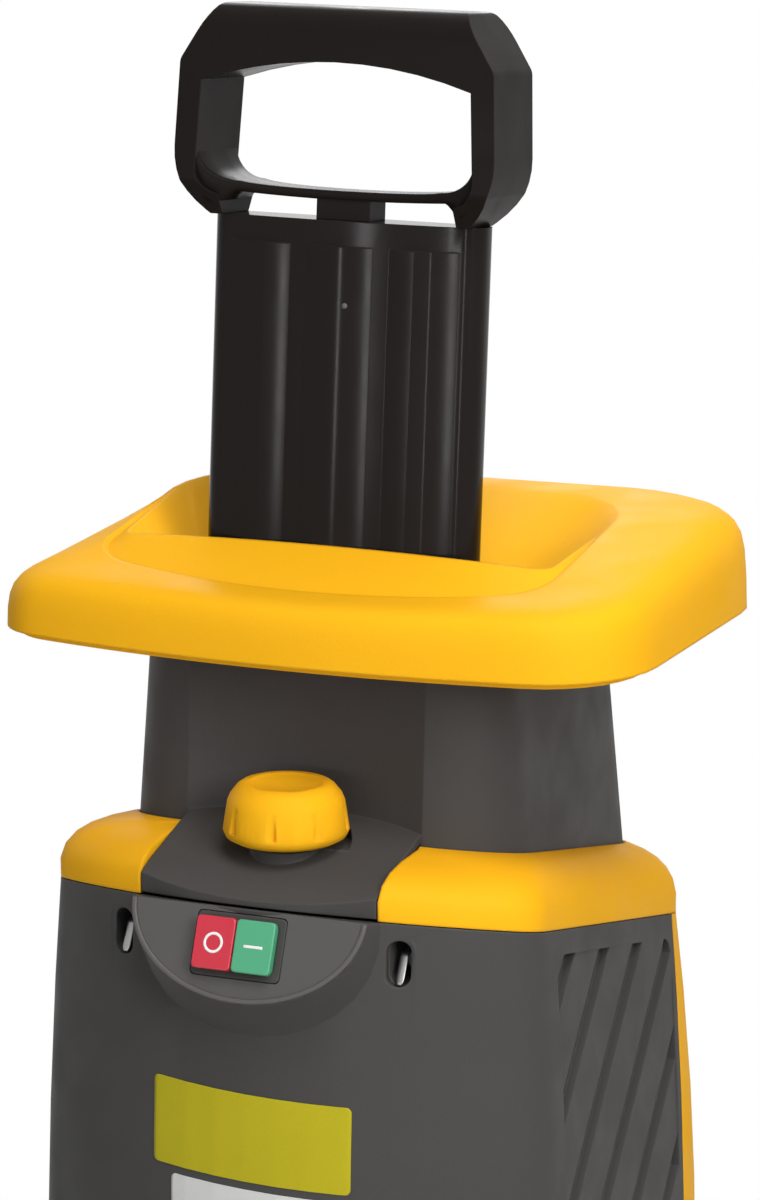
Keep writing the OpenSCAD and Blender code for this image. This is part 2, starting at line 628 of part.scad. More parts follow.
groove_r = 2.8;
module locking_knob() {
  foot = pad_z + collar_h + 0.4;
  color(yellow) translate([0, -knob_y, foot]) difference() {
    rotate_extrude() polygon([[0, 0], [knob_base_r - 6, 0], [knob_base_r - 1.5, 2.5], [knob_base_r, 6],
      [knob_top_r, knob_h - 10], [knob_top_r - 1.5, knob_h - 6.5], [knob_top_r - 5, knob_h - 2], [knob_top_r - 8, knob_h],
      [knob_top_r - 12, knob_h], [knob_top_r - 14, knob_h - 1], [0, knob_h - 1]]);
    for (i = [0:knob_flutes - 1]) rotate(360 * i / knob_flutes + 10)
      translate([(knob_base_r + knob_top_r) / 2 + groove_r / 2, 0, 7]) cylinder(r = groove_r, h = knob_h - 16);
    translate([0, 0, -cut]) cylinder(r = stud_r, h = knob_h / 2 + cut);
  }
}

// Socket of the knob's stud, on a shelf in the front shell
socket_top = seam_z(-knob_y) - 2;
socket_h = 18;
socket_w = 84;
stud_tip = socket_top - stud_reach;

module knob_stud() {
  color(steel) translate([0, -knob_y, stud_tip]) cylinder(r = stud_r, h = pad_z + collar_h + 0.4 + knob_h / 2 - stud_tip);
}

module knob_collar() {
  color(black) translate([0, -knob_y, pad_z]) difference() {
    cylinder(r1 = pad_r - 0.5, r2 = pad_r - 3, h = collar_h);
    translate([0, 0, -cut]) cylinder(r = stud_r + 0.1, h = collar_h + 2 * cut);
  }
}

// Panel frame: origin at the middle of the panel's top edge, X right, Y up the face, Z outwards
panel_top_y = body_front - 1;
module panel_frame() {
  translate([0, -panel_top_y, seam_z(-panel_top_y) - seam_gap]) rotate([90 - panel_tilt, 0, 0]) children();
}
button_y = -4 - button_h / 2 - 2;
bezel = 3;
button_gap = 0.6;
button_pitch = button_w + button_gap;
well_gap = 0.5;
bezel_w = button_pitch + button_w + 2 * bezel;
bezel_h = button_h + 2 * bezel;
switch_depth = 26;
recess_depth = 2;

module panel_boss() {
  flare_x = (panel_half_w + 8) / panel_half_w;
  flare_y = (panel_h + 24) / panel_h;
  translate([0, 0, -34]) linear_extrude(34, scale = [1 / flare_x, 1 / flare_y]) scale([flare_x, flare_y])
    polygon(concat([[panel_half_w, 12], [-panel_half_w, 12]],
      [for (a = [180:12:360]) [panel_half_w * cos(a), panel_h * sin(a)]]));
}

// Side vent frame: X points out of the housing, Z up along its flare
vent_rear = split_y - 6;
vent_mid_y = vent_rear - vent_l / 2;
vent_top = seam_z(vent_rear - vent_l) - 14;
vent_mid_z = vent_top - vent_h / 2;
vent_t = (vent_mid_z - body_bottom) / (seam_h - body_bottom);
vent_tilt = atan(2 * body_flare * vent_t / (seam_h - body_bottom));
module vent_frame(s) {
  translate([s * (body_w / 2 + body_grow(vent_t)), vent_mid_y, vent_mid_z]) rotate([0, -s * vent_tilt, s < 0 ? 180 : 0])
    children();
}
function vent_outline(g) = rounded([[-vent_l / 2 - g, -vent_h / 2 - g, 12], [vent_l / 2 + g, -vent_h / 2 - g, 12],
  [vent_l / 2 + g, vent_h / 2 - vent_l * tan(deck_slope) + g, 12], [-vent_l / 2 - g, vent_h / 2 + g, 12]]);
module vent_prism(s, g, x0, x1) {
  translate([x0, 0, 0]) rotate([90, 0, 90]) linear_extrude(x1 - x0) scale([s, 1]) polygon(vent_outline(g));
}
module fins(s, t, x0, x1) {
  reach = vent_l + vent_h;
  for (i = [-5:5]) rotate([-s * 45, 0, 0]) translate([x0, i * fin_pitch - t / 2, -reach]) cube([x1 - x0, t, 2 * reach]);
}
module vent_tray(s) {
  vent_prism(s, 3, -vent_depth - 3, -2);
}
module vent_cut(s) {
  difference() {
    vent_prism(s, 0, -vent_depth, 12);
    fins(s, fin_t, -vent_depth - cut, -1.5);
  }
  intersection() {
    vent_prism(s, -7, -vent_depth - 8, -vent_depth + cut);
    translate([-far, s > 0 ? vent_l / 2 - 70 : -far, -far]) cube([2 * far, far - vent_l / 2 + 70, 2 * far]);
    translate([0, 0, 0]) rotate([-s * 45, 0, 0]) translate([0, fin_pitch / 2, 0]) rotate([s * 45, 0, 0])
      fins(s, fin_pitch - fin_t - 8, -vent_depth - 8, -vent_depth + cut);
  }
}

// Housing screws: wells in the front shell, lugs on the cutting bowl
screw_z = seam_z(-body_front) - screw_drop;
lug_front = 132;
well_r = 6.5;
well_l = 26;
module well(grow, h) {
  translate([0, 4, 0]) linear_extrude(h) polygon(round_rect(2 * (well_r + grow), well_l + 2 * grow, well_r + grow - 0.1));
}
screw_head_r = 5.5;
module screw_places() {
  for (s = [-1, 1]) translate([s * screw_x, -lug_front, screw_z]) rotate([90, 0, 0]) children();
}

module front_shell() {
  outer = [for (t = body_steps) body_lift(front_line(body_grow(t)), t)];
  inner = [for (t = body_steps) body_lift(front_line(body_grow(t) - shell_wall), t)];
  rest = [for (p = front_line(-shell_wall)) [p.x, p.y]];
  color(grey) difference() {
    union() {
      open_wall(outer, inner);
      intersection() {
        panel_frame() panel_boss();
        below_plane(seam_h - seam_gap);
        box_at([-far, -far, body_bottom], [far, -body_front + 30, far * 2]);
      }
      for (s = [-1, 1]) vent_frame(s) vent_tray(s);
      screw_places() well(2.5, 34);
      box_at([-screw_x, -knob_y - 13, socket_top - socket_h], [screw_x, -lug_front - seam_gap, socket_top]);
      box_at([-socket_w / 2, -knob_y - 13, socket_top - socket_h], [socket_w / 2, -knob_y + 13, socket_top]);
    }
    for (s = [-1, 1]) vent_frame(s) vent_cut(s);
    panel_frame() {
      translate([-switch_x, button_y, -recess_depth]) linear_extrude(20) polygon(round_rect(bezel_w + 1, bezel_h + 1, 3));
      translate([-switch_x, button_y, -switch_depth - 6]) linear_extrude(switch_depth + 6) polygon(round_rect(bezel_w - 6, bezel_h - 6, 2));
    }
    screw_places() {
      translate([0, 0, 8]) well(0, 60);
      translate([0, 0, -cut]) cylinder(r = 2.6, h = 20);
    }
    translate([0, -knob_y, socket_top - socket_h - cut]) cylinder(r = stud_r + 2.5, h = socket_h + 2 * cut);
  }
}

module shell_screws() {
  color(steel) screw_places() {
    translate([0, 0, 8]) cylinder(r = screw_head_r, h = 4);
    translate([0, 0, -14]) cylinder(r = 2.5, h = 23);
  }
}

module switch_box() {
  color(black) panel_frame() translate([-switch_x, button_y, 0]) difference() {
    union() {
      translate([0, 0, -recess_depth]) linear_extrude(recess_depth) polygon(round_rect(bezel_w, bezel_h, 3));
      translate([0, 0, -switch_depth]) linear_extrude(switch_depth) polygon(round_rect(bezel_w - 7, bezel_h - 7, 2));
    }
    for (s = [-1, 1]) translate([s * button_pitch / 2, 0, -button_travel - 8]) linear_extrude(40)
      polygon(round_rect(button_w + well_gap - 3, button_h + well_gap - 3, 2));
  }
}

module push_button(s) {
  panel_frame() translate([s * button_pitch / 2 - switch_x, button_y, 0]) {
    translate([0, 0, -7]) linear_extrude(7.5 + button_travel) polygon(round_rect(button_w - 3, button_h - 3, 2));
    translate([0, 0, button_travel + 0.4]) linear_extrude(button_out - 0.4) polygon(round_rect(button_w, button_h, 2.5));
  }
}
module stop_button() {
  color([0.8, 0.15, 0.2]) push_button(-1);
}
module start_button() {
  color([0.15, 0.62, 0.35]) push_button(1);
}

// Rear shell with the plug recess and the hole of the reset button
inlet_z = 400;
inlet_w = 54;
inlet_h = 46;
reset_x = 55;
reset_r = 8;
inlet_t = (inlet_z - body_bottom) / (seam_z(body_back) - body_bottom);
inlet_face = body_back + back_grow(inlet_t);
flange_rim = 4;
flange_low_t = (inlet_z - inlet_h / 2 - flange_rim - body_bottom) / (seam_z(body_back) - body_bottom);
flange_seat = back_grow(flange_low_t) - back_grow(inlet_t) + 0.2;

module rear_shell() {
  outer = [for (t = body_steps) body_lift(rear_line(t, 0), t)];
  inner = [for (t = body_steps) body_lift(rear_line(t, shell_wall), t)];
  color(yellow) difference() {
    open_wall(outer, inner);
    translate([0, inlet_face - 20, inlet_z]) rotate([-90, 0, 0]) linear_extrude(40) polygon(round_rect(inlet_w, inlet_h, 6));
    translate([reset_x, inlet_face - 20, inlet_z]) rotate([-90, 0, 0]) cylinder(r = reset_r, h = 40);
  }
}

module power_inlet() {
  color(black) translate([0, inlet_face, inlet_z]) rotate([-90, 0, 0]) difference() {
    union() {
      translate([0, 0, -28]) linear_extrude(29 + flange_seat) polygon(round_rect(inlet_w - 0.6, inlet_h - 0.6, 6));
      translate([0, 0, flange_seat]) linear_extrude(2.5)
        polygon(round_rect(inlet_w + 2 * flange_rim, inlet_h + 2 * flange_rim, 8));
      translate([reset_x, 0, -20]) cylinder(r = reset_r - 0.3, h = 20);
    }
    translate([0, 0, -22]) cylinder(r = 19, h = 40);
    translate([reset_x, 0, -14]) cylinder(r = reset_r - 2, h = 40);
  }
  color(black) translate([0, inlet_face, inlet_z]) rotate([-90, 0, 0]) {
    for (x = [-9.5, 9.5]) translate([x, 0, -23]) cylinder(r = 2.4, h = 19);
    translate([inlet_w / 2 - 2, -5, -19]) cube([reset_x - inlet_w / 2 - 4, 10, 8]);
  }
}

module reset_button() {
  color([0.75, 0.1, 0.1]) translate([reset_x, inlet_face - 13.5 + 3, inlet_z]) rotate([-90, 0, 0]) cylinder(r = reset_r - 2.3, h = 15);
}

// Top cover: yellow shoulders round the hopper's foot, open in front for the tongue
module top_cover() {
  lip = hopper_gap + 2.5;
  seam_out = bowed(body_w / 2, body_front, body_back, body_front_r, body_corner_r, body_back_r);
  seam_in = bowed(body_w / 2 - shell_wall, body_front - shell_wall, body_back - shell_wall, body_front_r - shell_wall,
    body_corner_r - shell_wall, body_back_r - shell_wall);
  function seat(g) = neck_outline(neck_foot_w / 2, neck_foot_front, neck_foot_back, neck_back_r, -g);
  base = seam_h + seam_gap / 2;
  top = seam_h + shoulder_rise;
  shoulder = [for (i = [1:5]) curve(i / 6, [-0.08, 0.6], [0.3, 0.85])];
  lip_line = seat(lip);
  color(yellow) difference() {
    union() {
      ring_wall([on_plane(seam_out, base),
        for (k = shoulder) on_plane([for (j = [0:len(seam_out) - 1]) lerp(seam_out[j], lip_line[j], k[0])], lerp(base, top, k[1])),
        on_plane(lip_line, top), on_plane(seat(hopper_gap), top), on_plane(seat(hopper_gap), top - seat_depth), on_plane(seat(-8), top - seat_depth),
        on_plane(seat(-8), top - seat_depth - 3), on_plane(seam_in, base)]);
      for (s = [-1, 1]) {
        along_x(s * ear_x, ear_w, hinge_r);
        box_at([s * ear_x - ear_w / 2, neck_foot_back + hopper_gap + 1, seam_z(body_back) + 12],
          [s * ear_x + ear_w / 2, hinge_y + hinge_r, hinge_z]);
      }
    }
    box_at([-tongue_half_w - 1, -far, seam_h - far / 2], [tongue_half_w + 1, -neck_foot_front + scoop_depth + 12, far * 2]);
    along_x(0, 3 * ear_x, pin_r + pin_gap);
    for (s = [-1, 1]) {
      along_x(s * lug_x, lug_w + 2 * hopper_gap, hinge_r + 1.5);
      box_at([s * lug_x - lug_w / 2 - hopper_gap, neck_foot_back - 12, hinge_z - hinge_r - 1.5],
        [s * lug_x + lug_w / 2 + hopper_gap, hinge_y, hinge_z + 40]);
    }
  }
}

module hinge_pin() {
  color(steel) along_x(0, 2 * ear_x + ear_w + 4, pin_r);
}

// Base plate, closing the housing from below
plate_inset = shell_wall + 0.3;
frame_bolt_y = [-46, 20];
post_x = 88;
post_y = 45;
module base_plate() {
  g = body_flare - plate_inset;
  color(grey) difference() {
    translate([0, 0, body_bottom]) linear_extrude(base_t) difference() {
      polygon(bowed(body_w / 2 + g, body_front + g, body_back + back_flare - plate_inset, body_front_r + g,
        body_corner_r + g, body_back_r + g));
      translate([0, outlet_y]) square([outlet_w + 0.6, outlet_d + 0.6], center = true);
    }
    frame_bolt_places() translate([0, 0, -cut]) cylinder(r = 3.1, h = 40);
  }
  color(grey) for (x = [-1, 1], y = [-1, 1]) translate([x * post_x, y * post_y, body_bottom + base_t - cut])
    cylinder(r = 7, h = bowl_floor - bowl_wall - body_bottom - base_t + cut);
}

// Cutting bowl with its drum wall, the outlet, and lugs for the housing screws
bowl_r = disc_r + disc_gap;
bowl_top = disc_top + 10;
bowl_floor = bowl_top - bowl_depth;
outlet_y = motor_r + 6 + outlet_d / 2 + outlet_wall;
flange_bolt_r = motor_r - 8;
module flange_bolts(r, h) {
  for (i = [0:3]) rotate(45 + 90 * i) translate([flange_bolt_r, 0]) cylinder(r = r, h = h);
}
module cutting_bowl() {
  color(black) difference() {
    union() {
      translate([0, 0, bowl_floor - bowl_wall]) cylinder(r = bowl_r + bowl_wall, h = bowl_depth + bowl_wall, $fn = 96);
      for (s = [-1, 1]) box_at([s * screw_x - 9, -lug_front, bowl_floor], [s * screw_x + 9, -90, screw_z + 8]);
    }
    translate([0, 0, bowl_floor]) cylinder(r = bowl_r, h = far, $fn = 96);
    translate([0, 0, bowl_floor - bowl_wall - cut]) cylinder(r = 26, h = 20);
    translate([0, outlet_y, bowl_floor]) cube([outlet_w - 2 * outlet_wall, outlet_d - 2 * outlet_wall, 3 * bowl_wall], center = true);
    translate([0, 0, bowl_floor - bowl_wall - cut]) flange_bolts(2.6, 10);
    screw_places() translate([0, 0, -20]) cylinder(r = 2.5 + screw_gap, h = 21);
  }
}

module discharge_chute() {
  color(black) translate([0, outlet_y, body_bottom - 30]) linear_extrude(bowl_floor - bowl_wall - body_bottom + 30) difference() {
    square([outlet_w, outlet_d], center = true);
    square([outlet_w - 2 * outlet_wall, outlet_d - 2 * outlet_wall], center = true);
  }
}

module breaker_bar() {
  color(steel) difference() {
    intersection() {
      translate([0, 0, bowl_floor]) cylinder(r = bowl_r - 0.2, h = bowl_depth + 2, $fn = 96);
      box_at([disc_r + 1.5, -30, bowl_floor], [far, 30, bowl_top + 2]);
    }
    translate([0, 0, bowl_floor - cut]) cylinder(r = disc_r + 1.5, h = 60, $fn = 96);
  }
}

// Knife disc with two reversible knives
disc_low = disc_top - disc_t;
knife_mid = 34 + knife_l / 2;
knife_bolt = 24;
module knife_screw_places() {
  for (i = [0, 1], d = [-1, 1]) rotate(180 * i) translate([knife_mid + d * knife_bolt, 0, disc_top]) children();
}
module knife_disc() {
  color(steel) difference() {
    union() {
      translate([0, 0, disc_low]) cylinder(r = disc_r, h = disc_t, $fn = 96);
      translate([0, 0, disc_low - 6]) cylinder(r = 22, h = 7);
    }
    translate([0, 0, disc_low - 8]) cylinder(r = shaft_r, h = 40);
    for (i = [0, 1]) rotate(180 * i) translate([knife_mid, knife_w / 2 + 7, disc_low])
      linear_extrude(40, center = true) polygon(round_rect(knife_l, 16, 5));
    knife_screw_places() translate([0, 0, -disc_t - cut]) cylinder(r = 3, h = 30);
  }
}
module knives() {
  color([0.82, 0.83, 0.85]) for (i = [0, 1]) rotate(180 * i) translate([knife_mid, 0, disc_top]) difference() {
    rotate([90, 0, 90]) linear_extrude(knife_l, center = true) polygon([[-knife_w / 2, 0], [knife_w / 2, 0],
      [knife_w / 2 - 5, knife_t], [-knife_w / 2 + 5, knife_t]]);
    for (d = [-1, 1]) translate([d * knife_bolt, 0, -cut]) cylinder(r = 3, h = 20);
  }
}
module knife_screws() {
  color(steel) knife_screw_places() {
    translate([0, 0, -disc_t]) cylinder(r = 3 - screw_gap, h = disc_t + knife_t);
    translate([0, 0, knife_t]) cylinder(r = 5.5, h = 2.2);
  }
}
module disc_bolt() {
  color(steel) {
    translate([0, 0, disc_top]) cylinder(r = 20, h = 2.5);
    translate([0, 0, disc_top + 2.5]) cylinder(r = 9, h = 5, $fn = 6);
  }
}

// Motor, hung under the cutting bowl
flange_top = bowl_floor - bowl_wall;
flange_t = 12;
can_top = flange_top - flange_t;
can_bottom = can_top - motor_l;
cap_t = 12;
bearing_r = 17;
bearing_h = 10;
shaft_bottom = can_bottom - cap_t + 1;
module drive_shaft() {
  color(steel) translate([0, 0, shaft_bottom]) cylinder(r = shaft_r, h = disc_top - shaft_bottom);
}
module bearing(z) {
  color(steel) translate([0, 0, z]) difference() {
    cylinder(r = bearing_r, h = bearing_h);
    translate([0, 0, -cut]) cylinder(r = shaft_r + shaft_gap, h = bearing_h + 2 * cut);
  }
}
module upper_bearing() {
  bearing(flange_top - bearing_h);
}
module lower_bearing() {
  bearing(can_bottom - bearing_h);
}
module motor_flange() {
  color([0.6, 0.61, 0.62]) difference() {
    translate([0, 0, can_top]) cylinder(r = motor_r + 4, h = flange_t);
    translate([0, 0, flange_top - bearing_h]) cylinder(r = bearing_r, h = bearing_h + cut);
    translate([0, 0, can_top - cut]) cylinder(r = shaft_r + 4, h = flange_t);
    translate([0, 0, can_top - cut]) flange_bolts(2.6, flange_t + 2 * cut);
  }
}
module motor_screws() {
  color(steel) {
    translate([0, 0, bowl_floor]) flange_bolts(5, 3);
    translate([0, 0, can_top + 1]) flange_bolts(2.5, bowl_floor - can_top);
  }
}
module motor_can() {
  color([0.25, 0.26, 0.28]) translate([0, 0, can_bottom]) difference() {
    cylinder(r = motor_r, h = motor_l);
    translate([0, 0, -cut]) cylinder(r = motor_r - 2.5, h = motor_l + 2 * cut);
    for (i = [0:7]) rotate(45 * i) translate([motor_r, 0, 20]) rotate([0, 90, 0])
      linear_extrude(20, center = true) polygon(round_rect(18, 10, 4));
  }
}
module motor_end_cap() {
  color([0.6, 0.61, 0.62]) translate([0, 0, can_bottom - cap_t]) difference() {
    cylinder(r = motor_r, h = cap_t);
    translate([0, 0, cap_t - bearing_h]) cylinder(r = bearing_r, h = bearing_h + cut);
    translate([0, 0, -cut]) cylinder(r = shaft_r + 2, h = cap_t);
    for (i = [0:5]) rotate(60 * i) translate([motor_r - 18, 0, -cut]) cylinder(r = 6, h = cap_t + 2 * cut);
  }
}
stator_bottom = can_bottom + 40;
stator_h = 46;
armature_r = 30;
module stator() {
  color([0.5, 0.5, 0.53]) translate([0, 0, stator_bottom]) difference() {
    cylinder(r = motor_r - 2.5, h = stator_h);
    translate([0, 0, -cut]) cylinder(r = armature_r + 1, h = stator_h + 2 * cut);
    for (s = [0, 180]) rotate(s) translate([0, motor_r - 12, -cut]) cylinder(r = 7, h = stator_h + 2 * cut);
  }
}
module armature() {
  color([0.7, 0.42, 0.22]) translate([0, 0, stator_bottom]) difference() {
    cylinder(r = armature_r, h = stator_h);
    translate([0, 0, -cut]) cylinder(r = shaft_r, h = stator_h + 2 * cut);
    for (i = [0:11]) rotate(30 * i) translate([armature_r, 0, -cut]) cylinder(r = 2.5, h = stator_h + 2 * cut);
  }
}
commutator_z = can_bottom + 16;
commutator_r = 17;
module commutator() {
  color([0.8, 0.5, 0.3]) translate([0, 0, commutator_z]) difference() {
    cylinder(r = commutator_r, h = 18);
    translate([0, 0, -cut]) cylinder(r = shaft_r, h = 40);
  }
}
brush_w = 12;
brush_end = sqrt(pow(motor_r - 2.7, 2) - pow(brush_w / 2, 2));
module brush_holders() {
  color([0.75, 0.6, 0.3]) for (s = [0, 180]) rotate(s)
    box_at([commutator_r + 0.6, -brush_w / 2, commutator_z + 4], [brush_end, brush_w / 2, commutator_z + 14]);
}
fan_z = stator_bottom + stator_h + 6;
module cooling_fan() {
  color([0.2, 0.2, 0.22]) translate([0, 0, fan_z]) difference() {
    union() {
      cylinder(r = motor_r - 12, h = 2.5);
      cylinder(r = 14, h = 13);
      for (i = [0:8]) rotate(40 * i) translate([10, -1, 0]) cube([motor_r - 24, 2, 13]);
    }
    translate([0, 0, -cut]) cylinder(r = shaft_r, h = 40);
  }
}

// Switch that stops the motor while the hopper is open, behind the stud's socket
interlock_x = 30;
interlock_y = 13 + 8 - knob_y;
interlock_top = socket_top - 4;
module interlock_switch() {
  color(black) {
    box_at([interlock_x - 12, interlock_y - 8, socket_top - socket_h], [interlock_x + 12, interlock_y + 6, interlock_top]);
    translate([interlock_x, interlock_y, interlock_top - cut]) cylinder(r = 2.5, h = 4 + cut);
  }
}

// Stand: two bent side frames, a foot bar with rubber sleeves, an axle with wheels
axle_y = foot_reach - wheel_r;
foot_y = foot_reach - foot_r;
rail_z = body_bottom - tube_r;
rail_front = 100;
rail_back = 70;
function frame_path() = [[-foot_y, foot_r], [-rail_front, rail_z], [rail_back, rail_z], [axle_y, wheel_r]];

// Straight tubes go a little way into the bends, as on a drawn-down joint
joint_step = 0.05;
joint_l = 1.5;
module straight(a, b, in_a, in_b) {
  u = unit(b - a);
  p = a - u * in_a;
  translate([0, p.x, p.y]) rotate([-atan2(u.x, u.y), 0, 0]) cylinder(r = tube_r - joint_step, h = norm(b - a) + in_a + in_b);
}
module bend(a, b, c) {
  u = unit(a - b);
  v = unit(c - b);
  half = acos(u * v) / 2;
  centre = b + unit(u + v) * bend_r / sin(half);
  p = u * bend_r / tan(half) + b - centre;
  translate([0, centre.x, centre.y]) rotate([90, 0, 90]) rotate(atan2(p.y, p.x) - (180 - 2 * half)) rotate_extrude(angle = 180 - 2 * half)
    translate([bend_r, 0]) circle(tube_r);
}
module side_frame(x) {
  p = frame_path();
  function short(a, b, c) = a + unit(b - a) * (norm(b - a) - bend_r / tan(acos(unit(a - b) * unit(c - b)) / 2));
  m1 = short(p[0], p[1], p[2]);
  m2 = short(p[2], p[1], p[0]);
  m3 = short(p[1], p[2], p[3]);
  m4 = short(p[3], p[2], p[1]);
  color([0.2, 0.2, 0.21]) translate([x, 0, 0]) difference() {
    union() {
      straight(p[0] + unit(p[1] - p[0]) * tube_r / 3, m1, 0, joint_l);
      bend(p[0], p[1], p[2]);
      straight(m2, m3, joint_l, joint_l);
      bend(p[1], p[2], p[3]);
      straight(m4, p[3], joint_l, 0);
      translate([0, axle_y, wheel_r]) rotate([0, 90, 0]) cylinder(r = axle_r + 8, h = 2 * tube_r, center = true);
    }
    translate([0, -foot_y, foot_r]) rotate([0, 90, 0]) cylinder(r = tube_r, h = 4 * tube_r, center = true);
    translate([0, axle_y, wheel_r]) rotate([0, 90, 0]) cylinder(r = axle_r, h = 4 * tube_r, center = true);
    for (y = frame_bolt_y) translate([0, y, rail_z - far / 8]) cylinder(r = 3.1, h = far / 4);
  }
}
module left_frame() {
  side_frame(-frame_x);
}
module right_frame() {
  side_frame(frame_x);
}
module frame_bolt_places() {
  for (s = [-1, 1], y = frame_bolt_y) translate([s * frame_x, y, body_bottom]) children();
}
module frame_bolts() {
  color(steel) frame_bolt_places() {
    translate([0, 0, -2 * tube_r - 4]) cylinder(r = 7, h = 4);
    translate([0, 0, -2 * tube_r - 3]) cylinder(r = 3, h = 2 * tube_r + base_t + 9);
    translate([0, 0, base_t]) cylinder(r = 6, h = 5, $fn = 6);
  }
}
sleeve_l = 46;
sleeve_end = 4;
sleeve_x = frame_x + tube_r + 1;
module foot_bar() {
  color([0.2, 0.2, 0.21]) translate([0, -foot_y, foot_r]) rotate([0, 90, 0]) cylinder(r = tube_r, h = 2 * (sleeve_x + sleeve_l - sleeve_end - 0.3), center = true);
}
module foot_sleeves() {
  color([0.05, 0.05, 0.05]) for (s = [-1, 1]) translate([s * (sleeve_x + sleeve_l / 2), -foot_y, foot_r]) rotate([0, 90, 0])
    difference() {
      union() {
        cylinder(r = foot_r, h = sleeve_l, center = true);
        translate([0, -foot_r * 0.8, -sleeve_l / 2]) cube([foot_r, foot_r * 1.6, sleeve_l]);
      }
      translate([0, 0, -s * sleeve_end]) cylinder(r = tube_r, h = sleeve_l, center = true);
    }
}
wheel_x = frame_x + tube_r + 8;
cap_r = 14;
module axle() {
  color(steel) translate([0, axle_y, wheel_r]) rotate([0, 90, 0]) cylinder(r = axle_r, h = 2 * (wheel_x + wheel_w + 8), center = true);
}
module wheel_frame(s) {
  translate([s * wheel_x, axle_y, wheel_r]) rotate([0, s * 90, 0]) children();
}
tyre_t = 13;
module wheel(s) {
  r = wheel_r - tyre_t;
  color([0.18, 0.18, 0.19]) wheel_frame(s) difference() {
    rotate_extrude($fn = 72) polygon([[axle_r + axle_gap, 0], [16, 0], [18, 6], [r - 10, 10], [r - 7, 2], [r, 2],
      [r, wheel_w - 2], [r - 7, wheel_w - 2], [r - 10, wheel_w - 8], [18, wheel_w - 4], [16, wheel_w], [axle_r + axle_gap, wheel_w]]);
    for (i = [0:4]) rotate(72 * i) translate([(r + 10) / 2, 0, -cut]) cylinder(r = 11, h = wheel_w + 2 * cut);
  }
}
module tyre(s) {
  r = wheel_r - tyre_t;
  color([0.06, 0.06, 0.06]) wheel_frame(s) rotate_extrude($fn = 72) polygon([[r, 0], [wheel_r - 5, 0], [wheel_r - 1, 4],
    [wheel_r, 10], [wheel_r, wheel_w - 10], [wheel_r - 1, wheel_w - 4], [wheel_r - 5, wheel_w], [r, wheel_w]]);
}
module left_wheel() {
  wheel(-1);
}
module right_wheel() {
  wheel(1);
}
module left_tyre() {
  tyre(-1);
}
module right_tyre() {
  tyre(1);
}
module wheel_caps() {
  color(black) for (s = [-1, 1]) wheel_frame(s) difference() {
    translate([0, 0, wheel_w + 0.5]) cylinder(r1 = cap_r, r2 = cap_r - 4, h = 10);
    translate([0, 0, wheel_w - cut]) cylinder(r = axle_r, h = 9);
  }
}

hopper_rim();
hopper_neck();
rim_screws();
plunger_body();
plunger_handle();
plunger_screws();
locking_knob();
knob_stud();
knob_collar();
front_shell();
rear_shell();
top_cover();
base_plate();
shell_screws();
switch_box();
stop_button();
start_button();
hinge_pin();
cutting_bowl();
breaker_bar();
knife_disc();
knives();
knife_screws();
disc_bolt();
drive_shaft();
upper_bearing();
lower_bearing();
motor_flange();
motor_screws();
motor_can();
motor_end_cap();
stator();
armature();
commutator();
brush_holders();
cooling_fan();
discharge_chute();
interlock_switch();
reset_button();
power_inlet();
left_frame();
right_frame();
frame_bolts();
foot_bar();
foot_sleeves();
axle();
left_wheel();
right_wheel();
left_tyre();
right_tyre();
wheel_caps();
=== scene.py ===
# Garden shredder: looks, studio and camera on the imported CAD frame
import json
import math
import bmesh
import bpy
from mathutils import Matrix, Vector
from mathutils.bvhtree import BVHTree


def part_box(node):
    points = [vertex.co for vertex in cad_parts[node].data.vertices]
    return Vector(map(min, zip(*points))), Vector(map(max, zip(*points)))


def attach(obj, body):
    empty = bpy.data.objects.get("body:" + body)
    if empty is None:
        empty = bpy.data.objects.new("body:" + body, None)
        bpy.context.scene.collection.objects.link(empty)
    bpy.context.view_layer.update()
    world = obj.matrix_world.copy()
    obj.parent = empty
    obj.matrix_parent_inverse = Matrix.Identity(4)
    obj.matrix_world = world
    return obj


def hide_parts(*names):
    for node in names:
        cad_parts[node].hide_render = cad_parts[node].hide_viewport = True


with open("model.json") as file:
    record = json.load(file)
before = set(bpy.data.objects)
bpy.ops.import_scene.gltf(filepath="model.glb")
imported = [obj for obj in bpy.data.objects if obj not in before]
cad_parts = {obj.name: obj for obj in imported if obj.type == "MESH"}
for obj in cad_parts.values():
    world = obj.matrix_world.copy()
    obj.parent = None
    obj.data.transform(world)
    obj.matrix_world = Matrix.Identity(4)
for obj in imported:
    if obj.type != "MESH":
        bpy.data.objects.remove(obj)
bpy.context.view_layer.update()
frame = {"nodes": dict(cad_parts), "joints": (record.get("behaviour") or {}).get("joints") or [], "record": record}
nodes = frame["nodes"]
body_of_node = {n: b for b, members in frame["record"]["behaviour"]["bodies"].items() for n in members}
slot_of_node = {s["node"]: s["material_slot"] for s in frame["record"]["subparts"]}

# Lengths are in metres, and in millimetres where a docstring says so or MM follows
MM = 0.001
WELD, SLIVER = 3e-6, 2e-6
SAME_LEVEL = 1e-5
FLAT_ANGLE = math.radians(0.4)
BEFORE_FRONT = -0.4
TO_BACK, TO_FLOOR = Vector((0, 1, 0)), Vector((0, 0, -1))


# Materials

